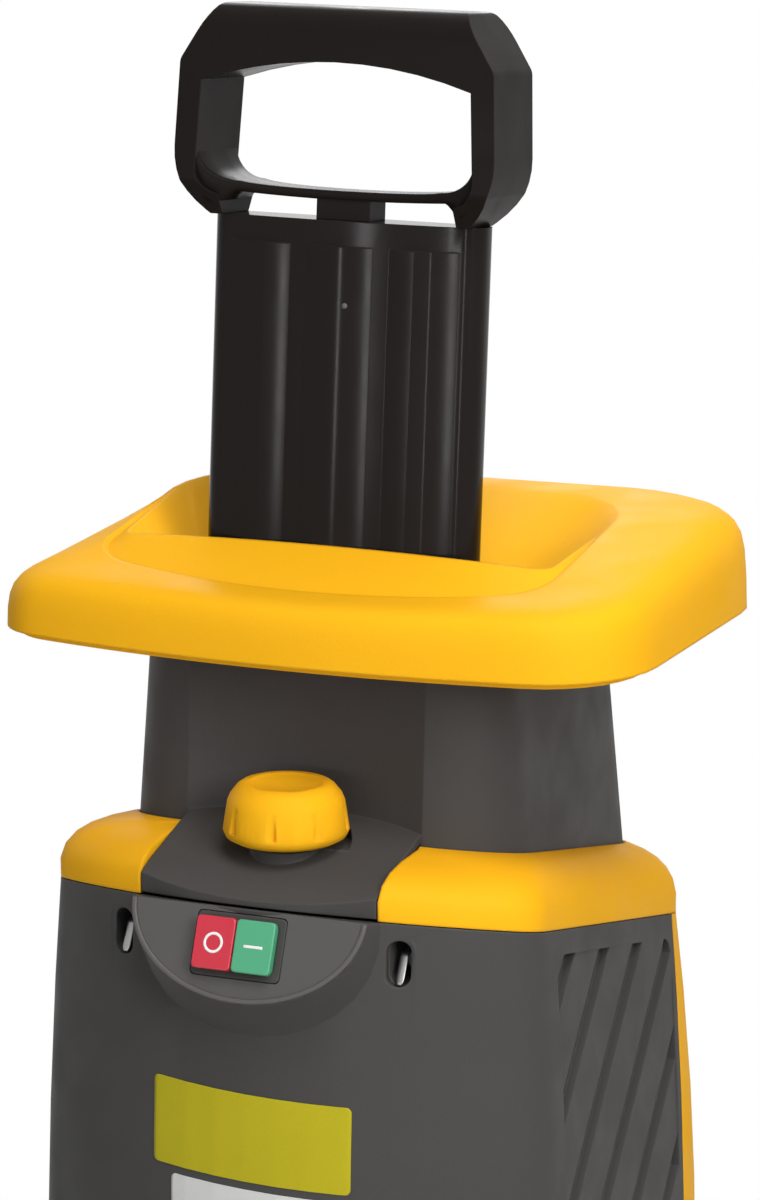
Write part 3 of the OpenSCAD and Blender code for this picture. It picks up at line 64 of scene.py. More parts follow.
class Graph:
    """A node tree, with short calls to add and link nodes."""

    def __init__(self, tree):
        self.tree = tree
        self.tree.nodes.clear()

    def add(self, kind, **values):
        node = self.tree.nodes.new(kind)
        for key, value in values.items():
            setattr(node, key, value)
        return node

    def link(self, a, a_socket, b, b_socket):
        self.tree.links.new(a.outputs[a_socket], b.inputs[b_socket])

    def background_rays(self):
        """1 on the rays that show the background: seen straight, mirrored or through glass."""
        rays = self.add("ShaderNodeLightPath")
        either = self.add("ShaderNodeMath", operation="MAXIMUM")
        self.link(rays, "Is Camera Ray", either, 0)
        self.link(rays, "Is Glossy Ray", either, 1)
        any_of = self.add("ShaderNodeMath", operation="MAXIMUM")
        self.link(either, "Value", any_of, 0)
        self.link(rays, "Is Transmission Ray", any_of, 1)
        return any_of


class Surface(Graph):
    """A material with a principled shader, textured in the object's own coordinates."""

    # Colour sockets of a Mix node
    MIX_A, MIX_B, MIX_RESULT = 6, 7, 2

    def __init__(self, name):
        self.material = bpy.data.materials.new(name)
        self.material.use_nodes = True
        super().__init__(self.material.node_tree)
        self.out = self.add("ShaderNodeOutputMaterial")
        self.shader = self.add("ShaderNodeBsdfPrincipled")
        self.link(self.shader, "BSDF", self.out, "Surface")
        self.place = self.add("ShaderNodeTexCoord")

    def noise(self, scale, detail, stretch=None, distortion=0.0):
        node = self.add("ShaderNodeTexNoise")
        node.inputs["Scale"].default_value = scale
        node.inputs["Detail"].default_value = detail
        node.inputs["Distortion"].default_value = distortion
        if stretch:
            mapping = self.add("ShaderNodeMapping")
            mapping.inputs["Scale"].default_value = stretch
            self.link(self.place, "Object", mapping, "Vector")
            self.link(mapping, "Vector", node, "Vector")
        else:
            self.link(self.place, "Object", node, "Vector")
        return node

    def span(self, source, socket, low, high, to_low, to_high):
        node = self.add("ShaderNodeMapRange")
        for key, value in (("From Min", low), ("From Max", high), ("To Min", to_low), ("To Max", to_high)):
            node.inputs[key].default_value = value
        self.link(source, socket, node, "Value")
        return node

    def blend(self, factor, factor_socket, a, b):
        node = self.add("ShaderNodeMix", data_type="RGBA")
        self.link(factor, factor_socket, node, 0)
        for index, value in ((self.MIX_A, a), (self.MIX_B, b)):
            if isinstance(value, bpy.types.Node):
                self.link(value, self.MIX_RESULT, node, index)
            else:
                node.inputs[index].default_value = (*value, 1)
        return node

    def paint(self, colour):
        self.link(colour, self.MIX_RESULT, self.shader, "Base Color")


# Noise scales, the part of the noise that is used, and how strongly it shows, for every finish
PATCH_SCALE, RUB_SCALE, MARK_SCALE = 7.0, 60.0, 34.0
NOISE_LOW, NOISE_HIGH = 0.3, 0.7
FINE_LOW, FINE_HIGH = 0.25, 0.75
SPECKLE_SHARE, SPECKLE_SHADE = 0.35, 0.86
MARK_DISTORTION = 0.4
EDGE_SAMPLES, EDGE_BEGINS, EDGE_FULL = 6, 0.985, 0.8
WORN_SHARE, WORN_TONE = 0.4, 0.75
COAT_ROUGH, LEAST_ROUGH = 0.25, 0.04


def shade(colour, k):
    return tuple(min(1.0, c * k) for c in colour)


def finish(name, colour, rough, grain, bump, wear, depth=0.15, tone=0.07, gloss=0.5, metal=0.0,
           coat=0.0, edge=0.9, brushed=None, spots=0.07):
    """A moulded or machined surface: mottled colour, grain, soft edges that are a little worn.

    The grain's depth and the edges' radius are in millimetres.
    """
    t = Surface(name)
    s = t.shader
    s.inputs["Metallic"].default_value = metal
    s.inputs["Specular IOR Level"].default_value = gloss
    s.inputs["Coat Weight"].default_value = coat
    s.inputs["Coat Roughness"].default_value = COAT_ROUGH
    patches = t.noise(PATCH_SCALE, 4.0)
    fine = t.noise(grain, 2.0, brushed)
    spread = t.span(patches, "Fac", NOISE_LOW, NOISE_HIGH, 0.0, 1.0)
    base = t.blend(spread, "Result", shade(colour, 1 - tone), shade(colour, 1 + tone))
    speckle = t.span(fine, "Fac", FINE_LOW, FINE_HIGH, 0.0, SPECKLE_SHARE)
    base = t.blend(speckle, "Result", base, shade(colour, SPECKLE_SHADE))

    # Edges: where the rounded normal leaves the true one
    soft = t.add("ShaderNodeBevel", samples=EDGE_SAMPLES)
    soft.inputs["Radius"].default_value = edge * MM
    true = t.add("ShaderNodeNewGeometry")
    turn = t.add("ShaderNodeVectorMath", operation="DOT_PRODUCT")
    t.link(soft, "Normal", turn, 0)
    t.link(true, "Normal", turn, 1)
    rub = t.noise(RUB_SCALE, 5.0)
    worn = t.span(turn, "Value", EDGE_BEGINS, EDGE_FULL, 0.0, wear)
    worn_spots = t.add("ShaderNodeMath", operation="MULTIPLY")
    t.link(worn, "Result", worn_spots, 0)
    t.link(rub, "Fac", worn_spots, 1)
    worn_colour = tuple((1 - WORN_SHARE) * c + WORN_SHARE * WORN_TONE for c in colour)
    t.paint(t.blend(worn_spots, "Value", base, worn_colour))

    # Roughness in spots, and the grain's relief on the rounded normal
    marks = t.noise(MARK_SCALE, 6.0, distortion=MARK_DISTORTION)
    level = t.span(marks, "Fac", NOISE_LOW, NOISE_HIGH, max(LEAST_ROUGH, rough - spots), min(1.0, rough + spots))
    t.link(level, "Result", s, "Roughness")
    relief = t.add("ShaderNodeBump")
    relief.inputs["Strength"].default_value = bump
    relief.inputs["Distance"].default_value = depth * MM
    t.link(fine, "Fac", relief, "Height")
    t.link(soft, "Normal", relief, "Normal")
    t.link(relief, "Normal", s, "Normal")
    return t.material


YELLOW = (0.93, 0.46, 0.012)
GREY = (0.0625, 0.0600, 0.0585)
BLACK = (0.0125, 0.0100, 0.0092)
ALONG_X, ALONG_Z = (0.1, 1, 1), (1, 1, 0.1)
LOOKS = {
    # The material slots of the record
    "yellow_plastic": dict(colour=YELLOW, rough=0.50, grain=1100, bump=0.10, wear=0.08, tone=0.03, gloss=0.04,
                           edge=2.4),
    "grey_plastic": dict(colour=GREY, rough=0.58, grain=750, bump=0.35, wear=0.15, depth=0.25, tone=0.06,
                         gloss=0.12, edge=1.6),
    "black_plastic": dict(colour=BLACK, rough=0.13, grain=1300, bump=0.03, wear=0.06, tone=0.08, gloss=0.07,
                          spots=0.02),
    "red_plastic": dict(colour=(0.56, 0.022, 0.045), rough=0.32, grain=1400, bump=0.05, wear=0.2, tone=0.04),
    "green_plastic": dict(colour=(0.070, 0.365, 0.190), rough=0.32, grain=1400, bump=0.05, wear=0.2, tone=0.04),
    "steel": dict(colour=(0.55, 0.54, 0.52), rough=0.30, grain=500, bump=0.05, wear=0.3, metal=1.0,
                  brushed=ALONG_Z),
    "knife_steel": dict(colour=(0.60, 0.60, 0.60), rough=0.24, grain=400, bump=0.06, wear=0.4, metal=1.0,
                        brushed=ALONG_X),
    "cast_metal": dict(colour=(0.33, 0.33, 0.34), rough=0.50, grain=320, bump=0.30, wear=0.35, depth=0.4,
                       metal=1.0),
    "motor_steel": dict(colour=(0.16, 0.16, 0.17), rough=0.42, grain=600, bump=0.10, wear=0.4, metal=0.9),
    "copper": dict(colour=(0.72, 0.30, 0.15), rough=0.33, grain=700, bump=0.12, wear=0.2, metal=1.0,
                   brushed=ALONG_Z),
    "painted_tube": dict(colour=(0.016, 0.016, 0.017), rough=0.36, grain=480, bump=0.16, wear=0.3, depth=0.2,
                         tone=0.06, coat=0.2),
    "rubber": dict(colour=(0.014, 0.013, 0.013), rough=0.74, grain=520, bump=0.30, wear=0.3, depth=0.3,
                   tone=0.12, gloss=0.25),
    "tyre_rubber": dict(colour=(0.017, 0.016, 0.016), rough=0.78, grain=420, bump=0.35, wear=0.35, depth=0.4,
                        tone=0.14, gloss=0.25),
    # Single pieces with a look of their own
    "handle_black": dict(colour=BLACK, rough=0.30, grain=1300, bump=0.04, wear=0.06, tone=0.08, gloss=0.03),
    # Steel for the well clips, which give the screw wells a painted highlight
    "glint_clip_steel": dict(colour=(0.30, 0.30, 0.30), rough=0.40, grain=500, bump=0.05, wear=0.3, metal=1.0, edge=0.2),
    "white_ink": dict(colour=(0.86, 0.86, 0.84), rough=0.45, grain=1500, bump=0.08, wear=0.1, tone=0.03, edge=0.2),
    "scuffed_black": dict(colour=(0.11, 0.105, 0.10), rough=0.5, grain=900, bump=0.2, wear=0.3, tone=0.1,
                          gloss=0.2, edge=0.2),
    # Lighter than the housing's grey: a painted highlight along the control panel's rounded edge
    "bead_highlight_grey": dict(colour=(0.098, 0.092, 0.088), rough=0.42, grain=750, bump=0.25, wear=0.3, depth=0.2,
                        tone=0.08, gloss=0.3, edge=0.8),
    # Lighter than the housing's grey: painted light on the control panel's upward-tilted face
    "panel_lit_grey": dict(colour=(0.090, 0.087, 0.085), rough=0.40, grain=750, bump=0.12, wear=0.15, depth=0.2,
                       tone=0.05, gloss=0.2, edge=0.4),
    "plate_yellow": dict(colour=(0.46, 0.395, 0.014), rough=0.42, grain=700, bump=0.05, wear=0.2, tone=0.05,
                         gloss=0.12, edge=0.2),
    "plate_pale": dict(colour=(0.62, 0.62, 0.60), rough=0.36, grain=900, bump=0.05, wear=0.2, tone=0.05, edge=0.2),
}
materials = {name: finish(name, **look) for name, look in LOOKS.items()}

for name, node in nodes.items():
    node.data.materials.clear()
    node.data.materials.append(materials[slot_of_node[name]])


# Pieces

def piece(name, mesh, look, body):
    """Put a mesh in the scene as a piece that rides on a body and belongs to a material slot."""
    obj = bpy.data.objects.new(name, mesh)
    bpy.context.scene.collection.objects.link(obj)
    mesh.materials.clear()
    mesh.materials.append(materials[look])
    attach(obj, body)
    return obj


def to_mesh(bm, name, smooth=True, flat=()):
    """A new mesh from a finished bmesh, shaded smoothly apart from its flat faces."""
    for face in bm.faces:
        face.smooth = smooth and face not in flat
    mesh = bpy.data.meshes.new(name)
    bm.to_mesh(mesh)
    bm.free()
    return mesh


def stitch(bm, a, b):
    """A band of faces between two rings with as many points."""
    for k in range(len(a)):
        n = (k + 1) % len(a)
        bm.faces.new((a[k], b[k], b[n], a[n]))


def thicken(obj, thick, offset):
    """Give a sheet its thickness in millimetres, outwards for an offset of 1 and inwards for -1."""
    solid = obj.modifiers.new("thickness", "SOLIDIFY")
    solid.thickness = thick * MM
    solid.offset = offset


def corners_of(node):
    return [v.co for v in nodes[node].data.vertices]


def surface_of(node):
    """A CAD node's surface, to cast rays on."""
    return BVHTree.FromPolygons(corners_of(node), [p.vertices for p in nodes[node].data.polygons])


# Skins: the CAD nodes' own surfaces, dressed
PIN_X, PIN_Y = 0.030, -0.112
PIN_REACH, BESIDE_PIN, BELOW_PIN = 4.1 * MM, 6.5 * MM, 2 * MM
ABOVE_TONGUE = 0.66
BEVEL_SEGMENTS = 2


def skin(node, round_mm=0.0, angle=38.0, flush=None, look=None):
    """A CAD node's own surface with its facets joined and shaded smoothly up to an angle in degrees.

    Its edges are rounded where a radius is given, and a stub above the point flush is cut off and closed.
    """
    mesh = nodes[node].data.copy()
    mesh.name = node + "_skin"
    bm = bmesh.new()
    bm.from_mesh(mesh)
    bmesh.ops.remove_doubles(bm, verts=bm.verts, dist=WELD)
    bmesh.ops.dissolve_degenerate(bm, edges=bm.edges, dist=SLIVER)
    if flush:
        stub = [f for f in bm.faces
                if all((v.co - flush).xy.length < PIN_REACH and v.co.z > flush.z for v in f.verts)]
        bmesh.ops.delete(bm, geom=stub, context="FACES")
        bmesh.ops.holes_fill(bm, edges=[e for e in bm.edges if e.is_boundary], sides=0)
    bmesh.ops.dissolve_limit(bm, angle_limit=FLAT_ANGLE, verts=bm.verts, edges=bm.edges)
    for face in bm.faces:
        face.smooth = True
    for edge in bm.edges:
        edge.smooth = len(edge.link_faces) == 2 and edge.calc_face_angle(0) < math.radians(angle)
    bm.to_mesh(mesh)
    bm.free()
    if mesh.has_custom_normals:
        mesh.attributes.remove(mesh.attributes["custom_normal"])
    slot = slot_of_node[node]
    obj = piece(node + "_skin", mesh, look or slot, body_of_node[node])
    if round_mm:
        bevel = obj.modifiers.new("edges", "BEVEL")
        bevel.width = round_mm * MM
        bevel.segments = BEVEL_SEGMENTS
        bevel.limit_method = "ANGLE"
        bevel.angle_limit = math.radians(angle)
        bevel.miter_outer = "MITER_ARC"
        bevel.harden_normals = True
    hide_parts(node)


for node in ("hopper_rim", "top_cover", "front_shell", "rear_shell", "plunger_body", "locking_knob"):
    skin(node)
tongue = surface_of("hopper_neck").ray_cast(Vector((PIN_X + BESIDE_PIN, PIN_Y, ABOVE_TONGUE)), TO_FLOOR)[0]
skin("hopper_neck", angle=17.0, flush=Vector((PIN_X, PIN_Y, tongue.z - BELOW_PIN)))
skin("plunger_handle", 1.6, look="handle_black")
skin("stop_button", 1.0)
skin("start_button", 1.0)


# Marks on the buttons, in the panel's frame: X right, Y up the face, Z outwards
PANEL_TURN = Matrix.Rotation(math.radians(68), 4, "X")
PANEL_UP = PANEL_TURN @ Vector((0, 1, 0))
PANEL_OUT = PANEL_TURN @ Vector((0, 0, 1))
FACE_DEPTH = 0.1 * MM
RING_R, RING_STEPS = 5.0, 48
BAR_LONG, BAR_STEPS = 11.2, 12
MARK_HALF_W, MARK_THICK = 0.85, 0.18
SECTION_POINTS, SUNK = 7, 0.02


def face_middle(node):
    """The middle of a button's face, turned as the panel is."""
    low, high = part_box(node)
    points = corners_of(node)
    top = max(p.dot(PANEL_OUT) for p in points)
    face = [p.dot(PANEL_UP) for p in points if p.dot(PANEL_OUT) > top - FACE_DEPTH]
    middle = Vector(((low.x + high.x) / 2, 0, 0)) + PANEL_UP * (min(face) + max(face)) / 2
    return Matrix.Translation(middle + PANEL_OUT * top) @ PANEL_TURN


def swept_mark(name, path, half_w, thick, closed, place, body, look):
    """A raised line with a rounded section, along a flat path in millimetres."""
    bm = bmesh.new()
    rows = []
    count = len(path)
    for i, p in enumerate(path):
        before = path[(i - 1) % count] if closed or i else p
        after = path[(i + 1) % count] if closed or i < count - 1 else p
        along = (Vector(after) - Vector(before)).normalized()
        side = Vector((-along.y, along.x))
        row = []
        for k in range(SECTION_POINTS):
            u = -1 + 2 * k / (SECTION_POINTS - 1)
            q = Vector(p) + side * half_w * u
            z = thick * math.sqrt(max(0, 1 - u ** 4)) - SUNK
            row.append(bm.verts.new((q.x * MM, q.y * MM, z * MM)))
        rows.append(row)
    for i in range(count if closed else count - 1):
        stitch(bm, rows[i], rows[(i + 1) % count])
    if not closed:
        bm.faces.new(rows[0])
        bm.faces.new(rows[-1])
    bmesh.ops.transform(bm, matrix=place, verts=bm.verts)
    bmesh.ops.recalc_face_normals(bm, faces=bm.faces)
    piece(name, to_mesh(bm, name), look, body)


turns = [2 * math.pi * i / RING_STEPS for i in range(RING_STEPS)]
ring = [(RING_R * math.cos(a), RING_R * math.sin(a)) for a in turns]
bar = [(-BAR_LONG / 2 + BAR_LONG * i / BAR_STEPS, 0.0) for i in range(BAR_STEPS + 1)]
swept_mark("stop_mark", ring, MARK_HALF_W, MARK_THICK, True, face_middle("stop_button"),
           "stop", "white_ink")
swept_mark("start_mark", bar, MARK_HALF_W, MARK_THICK, False, face_middle("start_button"),
           "start", "white_ink")


# Control panel: a smoother sheet on its face, in a lighter grey that paints the light falling on the upward-tilted
# face, and a bead along its half oval, lighter again, as a painted highlight on the panel's rounded edge
PANEL_HALF_W, PANEL_H = 70.0, 52.0
SHEET_THICK = 0.15
BEAD_HALF_W, BEAD_THICK = 1.7, 1.3
FACING = 0.9999


def panel_faces():
    """The corners of each face on the panel's plane, and how far out that plane is."""
    mesh = nodes["front_shell"].data
    flat = [f for f in mesh.polygons if f.normal.dot(PANEL_OUT) > FACING]
    level = max(f.center.dot(PANEL_OUT) for f in flat)
    outermost = [f for f in flat if abs(f.center.dot(PANEL_OUT) - level) < SAME_LEVEL]
    return [[mesh.vertices[i].co for i in f.vertices] for f in outermost], level


def panel_place():
    """The panel's plane, with its origin where the half oval is widest."""
    faces, level = panel_faces()
    lowest = min(p.dot(PANEL_UP) for face in faces for p in face)
    return Matrix.Translation(PANEL_UP * (lowest + PANEL_H * MM) + PANEL_OUT * level) @ PANEL_TURN


def lit_panel_sheet(name):
    """A thin sheet with the outline and the cut-out of the panel's face, in a lighter grey: painted light on the
    face that tilts up to the lamps.
    """
    bm = bmesh.new()
    for face in panel_faces()[0]:
        bm.faces.new([bm.verts.new(p + PANEL_OUT * (SHEET_THICK * MM)) for p in face])
    bmesh.ops.remove_doubles(bm, verts=bm.verts, dist=WELD)
    bmesh.ops.dissolve_limit(bm, angle_limit=FLAT_ANGLE, verts=bm.verts, edges=bm.edges)
    obj = piece(name, to_mesh(bm, name, smooth=False), "panel_lit_grey", "housing")
    thicken(obj, SHEET_THICK, -1.0)


lit_panel_sheet("lit_panel_sheet")
# The bead is a raised line of lighter grey that stands in for the highlight on the panel's rounded edge: a painted
# highlight
lower_half = [math.radians(a) for a in range(181, 360, 2)]
panel_edge = [((PANEL_HALF_W - BEAD_HALF_W) * math.cos(a), (PANEL_H - BEAD_HALF_W) * math.sin(a))
              for a in lower_half]
swept_mark("panel_highlight_bead", panel_edge, BEAD_HALF_W, BEAD_THICK, False, panel_place(),
           "housing", "bead_highlight_grey")


# Bare plates on the round front of the housing
PLATE_COLUMNS, PLATE_ROWS = 60, 28
PLATE_CORNER, PLATE_THICK, PLATE_PROUD = 3.0, 0.35, 0.1
PLATE_SLOPE = -0.046
front = surface_of("front_shell")


def front_at(x, z):
    """The point of the front shell that is seen from ahead at X and Z in millimetres."""
    return front.ray_cast(Vector((x * MM, BEFORE_FRONT, z * MM)), TO_BACK)[0]


def plate(name, left, right, low, high, look):
    """A thin plate with round corners that follows the shell, sizes in millimetres."""
    bm = bmesh.new()
    grid = []
    for j in range(PLATE_ROWS + 1):
        z = low + (high - low) * (0.5 - 0.5 * math.cos(math.pi * j / PLATE_ROWS))
        into_corner = PLATE_CORNER - min(z - low, high - z, PLATE_CORNER)
        cut = PLATE_CORNER - math.sqrt(max(0.0, PLATE_CORNER ** 2 - into_corner ** 2))
        line = []
        for i in range(PLATE_COLUMNS + 1):
            x = (left + cut) + (right - left - 2 * cut) * i / PLATE_COLUMNS
            z_here = z + PLATE_SLOPE * x
            line.append(bm.verts.new((x * MM, front_at(x, z_here).y - PLATE_PROUD * MM, z_here * MM)))
        grid.append(line)
    for a, b in zip(grid, grid[1:]):
        for i in range(PLATE_COLUMNS):
            bm.faces.new((a[i], a[i + 1], b[i + 1], b[i]))
    thicken(piece(name, to_mesh(bm, name), look, "housing"), PLATE_THICK, 1.0)


plate("upper_plate", -58, 60, 450.5, 500, "plate_yellow")
plate("lower_plate", -46, 46, 398, 446, "plate_pale")


# Moulding mark on the plunger
GATE_PROFILE = ((1.7, -0.03), (1.3, 0.1), (0.95, 0.06), (0.7, 0.3), (0.35, 0.36))
GATE_STEPS = 20


def gate_mark(name, node, x, below_top):
    """The small vestige that the mould leaves on the front of a node, sizes in millimetres."""
    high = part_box(node)[1]
    start = Vector((x * MM, BEFORE_FRONT, high.z - below_top * MM))
    point, normal, _, _ = surface_of(node).ray_cast(start, TO_BACK)
    turn = normal.to_track_quat("Z", "Y").to_matrix().to_4x4()
    bm = bmesh.new()
    angles = [2 * math.pi * i / GATE_STEPS for i in range(GATE_STEPS)]
    rings = [[bm.verts.new((r * math.cos(a) * MM, r * math.sin(a) * MM, h * MM)) for a in angles]
             for r, h in GATE_PROFILE]
    for lower, upper in zip(rings, rings[1:]):
        stitch(bm, upper, lower)
    bm.faces.new(rings[-1])
    bm.faces.new(rings[0][::-1])
    bmesh.ops.transform(bm, matrix=Matrix.Translation(point) @ turn, verts=bm.verts)
    piece(name, to_mesh(bm, name), "scuffed_black", body_of_node[node])


gate_mark("plunger_gate_mark", "plunger_body", 5.5, 46.0)


# Strap across the handle's loop
def tube(name, rings, look, body):
    """A closed mesh through rings of points, one after the other, with both ends capped."""
    bm = bmesh.new()
    loops = [[bm.verts.new(p) for p in ring] for ring in rings]
    for a, b in zip(loops, loops[1:]):
        stitch(bm, a, b)
    caps = [bm.faces.new(loops[0]), bm.faces.new(loops[-1])]
    bmesh.ops.recalc_face_normals(bm, faces=bm.faces)
    piece(name, to_mesh(bm, name, flat=caps), look, body)


LOOP_HALF_W = 85
BEND_X, FOOT_X, WALL_X = 60.0, 71, 82.3
BEND_Z, WALL_Z = 18.9, 37.0
STRAP_Z, STRAP_THICK, STRAP_STEP = 16.2, 4.6, 4
BEND_STEPS, BEND_STEP_DEG = 16, 6
UNDER_Z, UNDER_DIP, UNDER_CLIMB = 14.0, 8, 22
STRAP_HALF_D, STRAP_FLARE = 12.0, 15.0
EDGE_R, EDGE_MID = 1.4, 0.4


def strap_top(x):
    u = abs(x) / LOOP_HALF_W
    return STRAP_Z + 3 * u ** 2 + 8 * u ** 6


def strap_stations():
    """X and Z of the strap's top and underside, from its left end to its right one, in millimetres."""
    half = [(x, strap_top(x), x, strap_top(x) - STRAP_THICK) for x in range(0, 58, STRAP_STEP)]
    for i in range(BEND_STEPS):
        a = math.radians(BEND_STEP_DEG * i)
        top_x = BEND_X + (WALL_X - BEND_X) * math.sin(a)
        top_z = BEND_Z + (WALL_Z - BEND_Z) * (1 - math.cos(a))
        low_x = BEND_X + (LOOP_HALF_W - BEND_X) * math.sin(a)
        dip = (min(low_x, FOOT_X) - BEND_X) / (FOOT_X - BEND_X)
        climb = (max(low_x, FOOT_X) - FOOT_X) / (LOOP_HALF_W - FOOT_X)
        half.append((top_x, top_z, low_x, UNDER_Z - UNDER_DIP * dip ** 2 + UNDER_CLIMB * climb ** 3))
    return [(-a, b, -c, d) for a, b, c, d in half[:0:-1]] + half


def handle_web(name, node):
    """The strap, whose top runs up both inner walls of the loop in round corners and widens to them."""
    up = Vector(next(j["axis"] for j in frame["joints"] if j["name"] == "plunger_slide")).normalized()
    right = Vector((1, 0, 0))
    back = up.cross(right)
    depths = [p.dot(back) for p in corners_of(node)]
    origin = up * min(p.dot(up) for p in corners_of(node)) + back * (min(depths) + max(depths)) / 2
    rings = []
    for top_x, top_z, low_x, low_z in strap_stations():
        wide = STRAP_HALF_D + STRAP_FLARE * min(1.0, abs(top_x) / WALL_X) ** 3
        top, low = Vector((top_x, 0, top_z)), Vector((low_x, 0, low_z))
        down = (low - top).normalized()
        long = (low - top).length
        half = [(wide / 3, 0), (wide - EDGE_R, 0), (wide - EDGE_MID, EDGE_MID), (wide, EDGE_R), (wide, long)]
        section = [(-y, d) for y, d in half[::-1]] + half
        flat_points = [(y, top + down * d) for y, d in section]
        rings.append([origin + (right * q.x + back * y + up * q.z) * MM for y, q in flat_points])
    tube(name, rings, "handle_black", body_of_node[node])


handle_web("handle_web", "plunger_handle")


# Steel clips in the oval wells of the housing screws, which stand in for the highlight on each well's lower wall:
# a painted highlight
WELL_X, WELL_RISE, WELL_HALF_H, BESIDE_WELL = 82.0, 4, 13, 10
HEAD_REACH = 12
CLIP_STEPS, CLIP_HALF_W, CLIP_THICK = 20, 2.4, 0.7
CLIP_SECTION = ((-1, 0.9), (-1, 0.25), (-0.7, 0.0), (0, -0.25), (0.7, 0.0), (1, 0.25), (1, 0.9))
TIP_SHARE, TIP_NARROW = 6, 0.8
CLIP_START, CLIP_DEPTH, CLIP_STOP = 0.6, 12.0, 13.5
CLIP_FOOT, CLIP_RISE, RISE_UNTIL, BEND_FROM = 1.2, 16.0, 0.75, 0.7


def glint_well_clip(name, x):
    """A bent steel tongue from a well's lower lip in to the screw's head, in millimetres, put there as a painted
    highlight on the well's lower wall.
    """
    head = [p for p in corners_of("shell_screws") if abs(p.x / MM - x) < HEAD_REACH]
    axis_z = (min(p.z for p in head) + max(p.z for p in head)) / 2 / MM
    head_y = min(p.y for p in head) / MM
    lip_y = sum(front_at(side, axis_z).y / MM for side in (x - BESIDE_WELL, x + BESIDE_WELL)) / 2
    low_z = axis_z + WELL_RISE - WELL_HALF_H
    rings = []
    for i in range(CLIP_STEPS + 1):
        t = i / CLIP_STEPS
        half_w = CLIP_HALF_W * math.sqrt(1 - max(0.0, 1 - TIP_SHARE * t) ** 2 * TIP_NARROW)
        inwards = max(0.0, t - BEND_FROM) / (1 - BEND_FROM)
        y = lip_y + CLIP_START + CLIP_DEPTH * t + (head_y - lip_y - CLIP_STOP) * inwards
        z = low_z + CLIP_FOOT + CLIP_RISE * min(1.0, t / RISE_UNTIL)
        rings.append([Vector((x + half_w * u, y + CLIP_THICK * out, z - CLIP_THICK * out)) * MM
                      for u, out in CLIP_SECTION])
    tube(name, rings, "glint_clip_steel", "housing")


glint_well_clip("left_glint_well_clip", -WELL_X)
glint_well_clip("right_glint_well_clip", WELL_X)


# Lip under the rim's edge
def outline_of(points):
    """The convex outline of points on one level, counter-clockwise from above."""
    points = sorted(points, key=lambda p: (round(p.x, 6), round(p.y, 6)))
    halves = []
    for run in (points, points[::-1]):
        half = []
        for p in run:
            while len(half) > 1 and (half[-1] - half[-2]).xy.cross((p - half[-1]).xy) <= 1e-9:
                half.pop()
            half.append(p)
        halves += half[:-1]
    return halves


def rim_lip(name, node, inset, drop, thick):
    """A thin lip along the rim's own lowest outline, sizes in millimetres."""
    points = corners_of(node)
    lowest = min(p.z for p in points)
    outer = outline_of([p for p in points if p.z < lowest + SAME_LEVEL])
    inner = inset + thick
    profile = ((1.0, 1.6), (1.0, 0.3), (inset, 0.6), (inset, -drop + 0.8), (inset + 0.4, -drop + 0.2),
               (inset + 0.9, -drop), (inner - 0.3, -drop), (inner, -drop + 0.4), (inner, 2.0))
    bm = bmesh.new()
    loops = []
    for i, p in enumerate(outer):
        along = outer[(i + 1) % len(outer)] - outer[i - 1]
        inward = Vector((-along.y, along.x, 0)).normalized()
        loops.append([bm.verts.new(p + inward * (a * MM) + Vector((0, 0, h * MM))) for a, h in profile])
    for a, b in zip(loops, loops[1:] + loops[:1]):
        stitch(bm, a, b)
    bmesh.ops.recalc_face_normals(bm, faces=bm.faces)
    slot = slot_of_node[node]
    piece(name, to_mesh(bm, name), slot, body_of_node[node])


rim_lip("rim_lip", "hopper_rim", inset=8.0, drop=4.2, thick=2.2)


# Floor, world and lamps
FLOOR_HALF, FLOOR_CELLS = 6.0, 8
FLOOR_BOUNCE = (0.58, 0.58, 0.57), (0.64, 0.64, 0.64)
FLOOR_SEEN = (0.93, 0.93, 0.93)
FLOOR_ROUGH = 0.8
SHADOW_INNER, SHADOW_OUTER = 0.35, 0.95
WHITE = 1.0
SOFT_COLOUR, SOFT_STRENGTH = (0.96, 0.98, 1.0, 1), 0.085


def floor():
    """A pale floor that keeps the shadow near the object and is white away from it."""
    bm = bmesh.new()
    bmesh.ops.create_grid(bm, x_segments=FLOOR_CELLS, y_segments=FLOOR_CELLS, size=FLOOR_HALF)
    mesh = to_mesh(bm, "floor", smooth=False)
    obj = bpy.data.objects.new("floor", mesh)
    bpy.context.scene.collection.objects.link(obj)
    t = Surface("floor")
    cloud = t.noise(3.0, 4.0)
    seen = t.background_rays()
    bounce = t.blend(cloud, "Fac", *FLOOR_BOUNCE)
    t.paint(t.blend(seen, "Value", bounce, FLOOR_SEEN))
    t.shader.inputs["Roughness"].default_value = FLOOR_ROUGH

    # White away from the object, where no shadow falls
    reach = t.add("ShaderNodeVectorMath", operation="LENGTH")
    t.link(t.place, "Object", reach, 0)
    away = t.span(reach, "Value", SHADOW_INNER, SHADOW_OUTER, 0.0, 1.0)
    away.interpolation_type = "SMOOTHSTEP"
    share = t.add("ShaderNodeMath", operation="MULTIPLY")
    t.link(seen, "Value", share, 0)
    t.link(away, "Result", share, 1)
    white = t.add("ShaderNodeEmission")
    white.inputs["Strength"].default_value = WHITE
    mix = t.add("ShaderNodeMixShader")
    t.link(share, "Value", mix, 0)
    t.link(t.shader, "BSDF", mix, 1)
    t.link(white, "Emission", mix, 2)
    t.link(mix, "Shader", t.out, "Surface")
    mesh.materials.append(t.material)


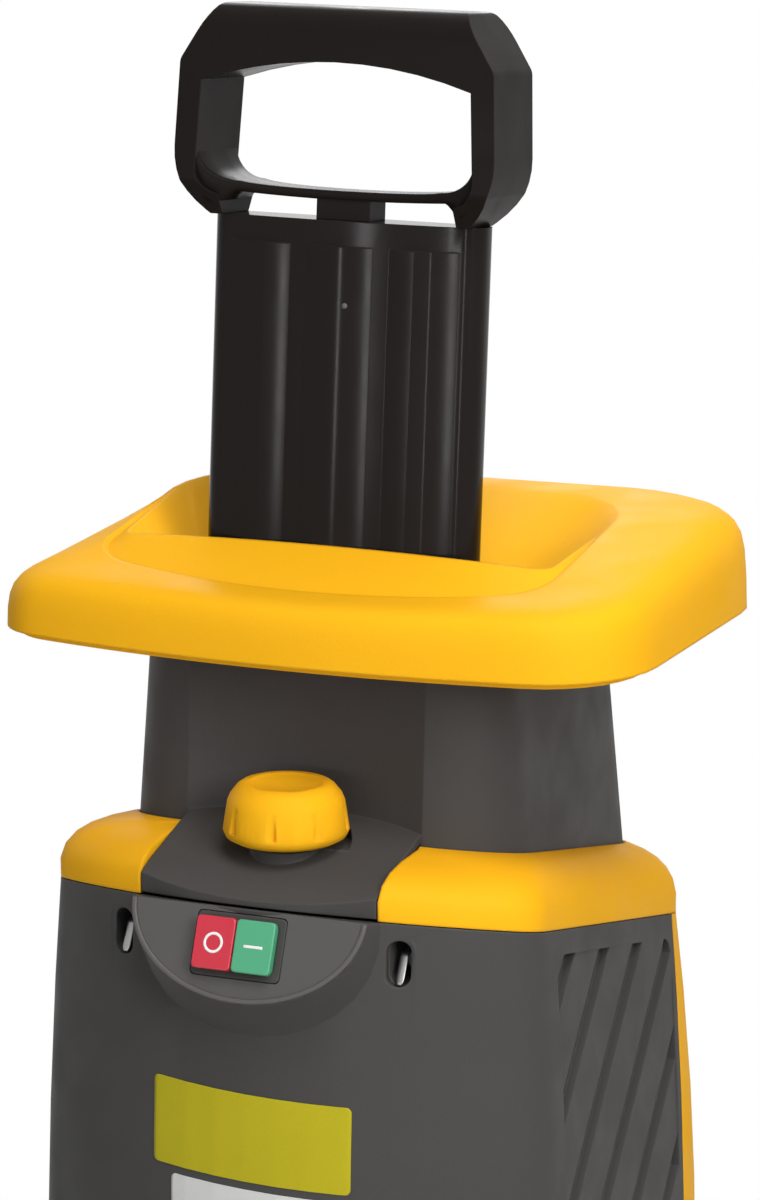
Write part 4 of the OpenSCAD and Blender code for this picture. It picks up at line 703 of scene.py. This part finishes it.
def studio():
    """A world that gives a little soft light and is seen as white."""
    world = bpy.data.worlds.new("studio")
    bpy.context.scene.world = world
    world.use_nodes = True
    w = Graph(world.node_tree)
    out = w.add("ShaderNodeOutputWorld")
    mix = w.add("ShaderNodeMixShader")
    w.link(w.background_rays(), "Value", mix, 0)
    for socket, colour, strength in ((1, SOFT_COLOUR, SOFT_STRENGTH), (2, (1, 1, 1, 1), WHITE)):
        light = w.add("ShaderNodeBackground")
        light.inputs["Color"].default_value = colour
        light.inputs["Strength"].default_value = strength
        w.link(light, "Background", mix, socket)
    w.link(mix, "Shader", out, "Surface")


def lamp(name, at, aim_z, width, height, power):
    """A rectangular lamp that looks at a height on the object's axis."""
    data = bpy.data.lights.new(name, "AREA")
    data.shape = "RECTANGLE"
    data.size = width
    data.size_y = height
    data.energy = power
    obj = bpy.data.objects.new(name, data)
    obj.location = at
    obj.rotation_euler = (Vector((0, 0, aim_z)) - Vector(at)).to_track_quat("-Z", "Y").to_euler()
    bpy.context.scene.collection.objects.link(obj)


floor()
studio()
lamp("key", (1.65, -1.3, 1.6), 0.7, 0.9, 1.1, 31)
lamp("high", (0.9, -1.25, 3.1), 0.7, 1.2, 1.2, 45)
for side, x in (("left", -1.09), ("middle", -0.06), ("right", 0.83)):
    lamp("strip_" + side, (x, -3.4, 0.95), 0.85, 0.13, 0.54, 5.5)
lamp("top", (0.1, 0.8, 2.8), 0.7, 1.6, 1.6, 17)
lamp("fill", (-2.6, 0.7, 1.5), 0.6, 1.2, 1.6, 6)
lamp("rear", (-1.0, 2.6, 1.9), 0.6, 1.2, 1.2, 18)


# Camera at the photograph's view
azimuth, elevation, distance = math.radians(22.84), math.radians(12.87), 2.85
target = Vector((0, 0, 0.737))
eye = target + distance * Vector((math.sin(azimuth) * math.cos(elevation),
                                  -math.cos(azimuth) * math.cos(elevation), math.sin(elevation)))
camera = bpy.data.cameras.new("photo_view")
camera.sensor_fit = "VERTICAL"
camera.sensor_height = 36
camera.lens = 150
camera_obj = bpy.data.objects.new("photo_view", camera)
camera_obj.location = eye
camera_obj.rotation_euler = (target - eye).to_track_quat("-Z", "Y").to_euler()
bpy.context.scene.collection.objects.link(camera_obj)
bpy.context.scene.camera = camera_obj
bpy.context.scene.view_settings.view_transform = "Standard"

bpy.context.view_layer.update()
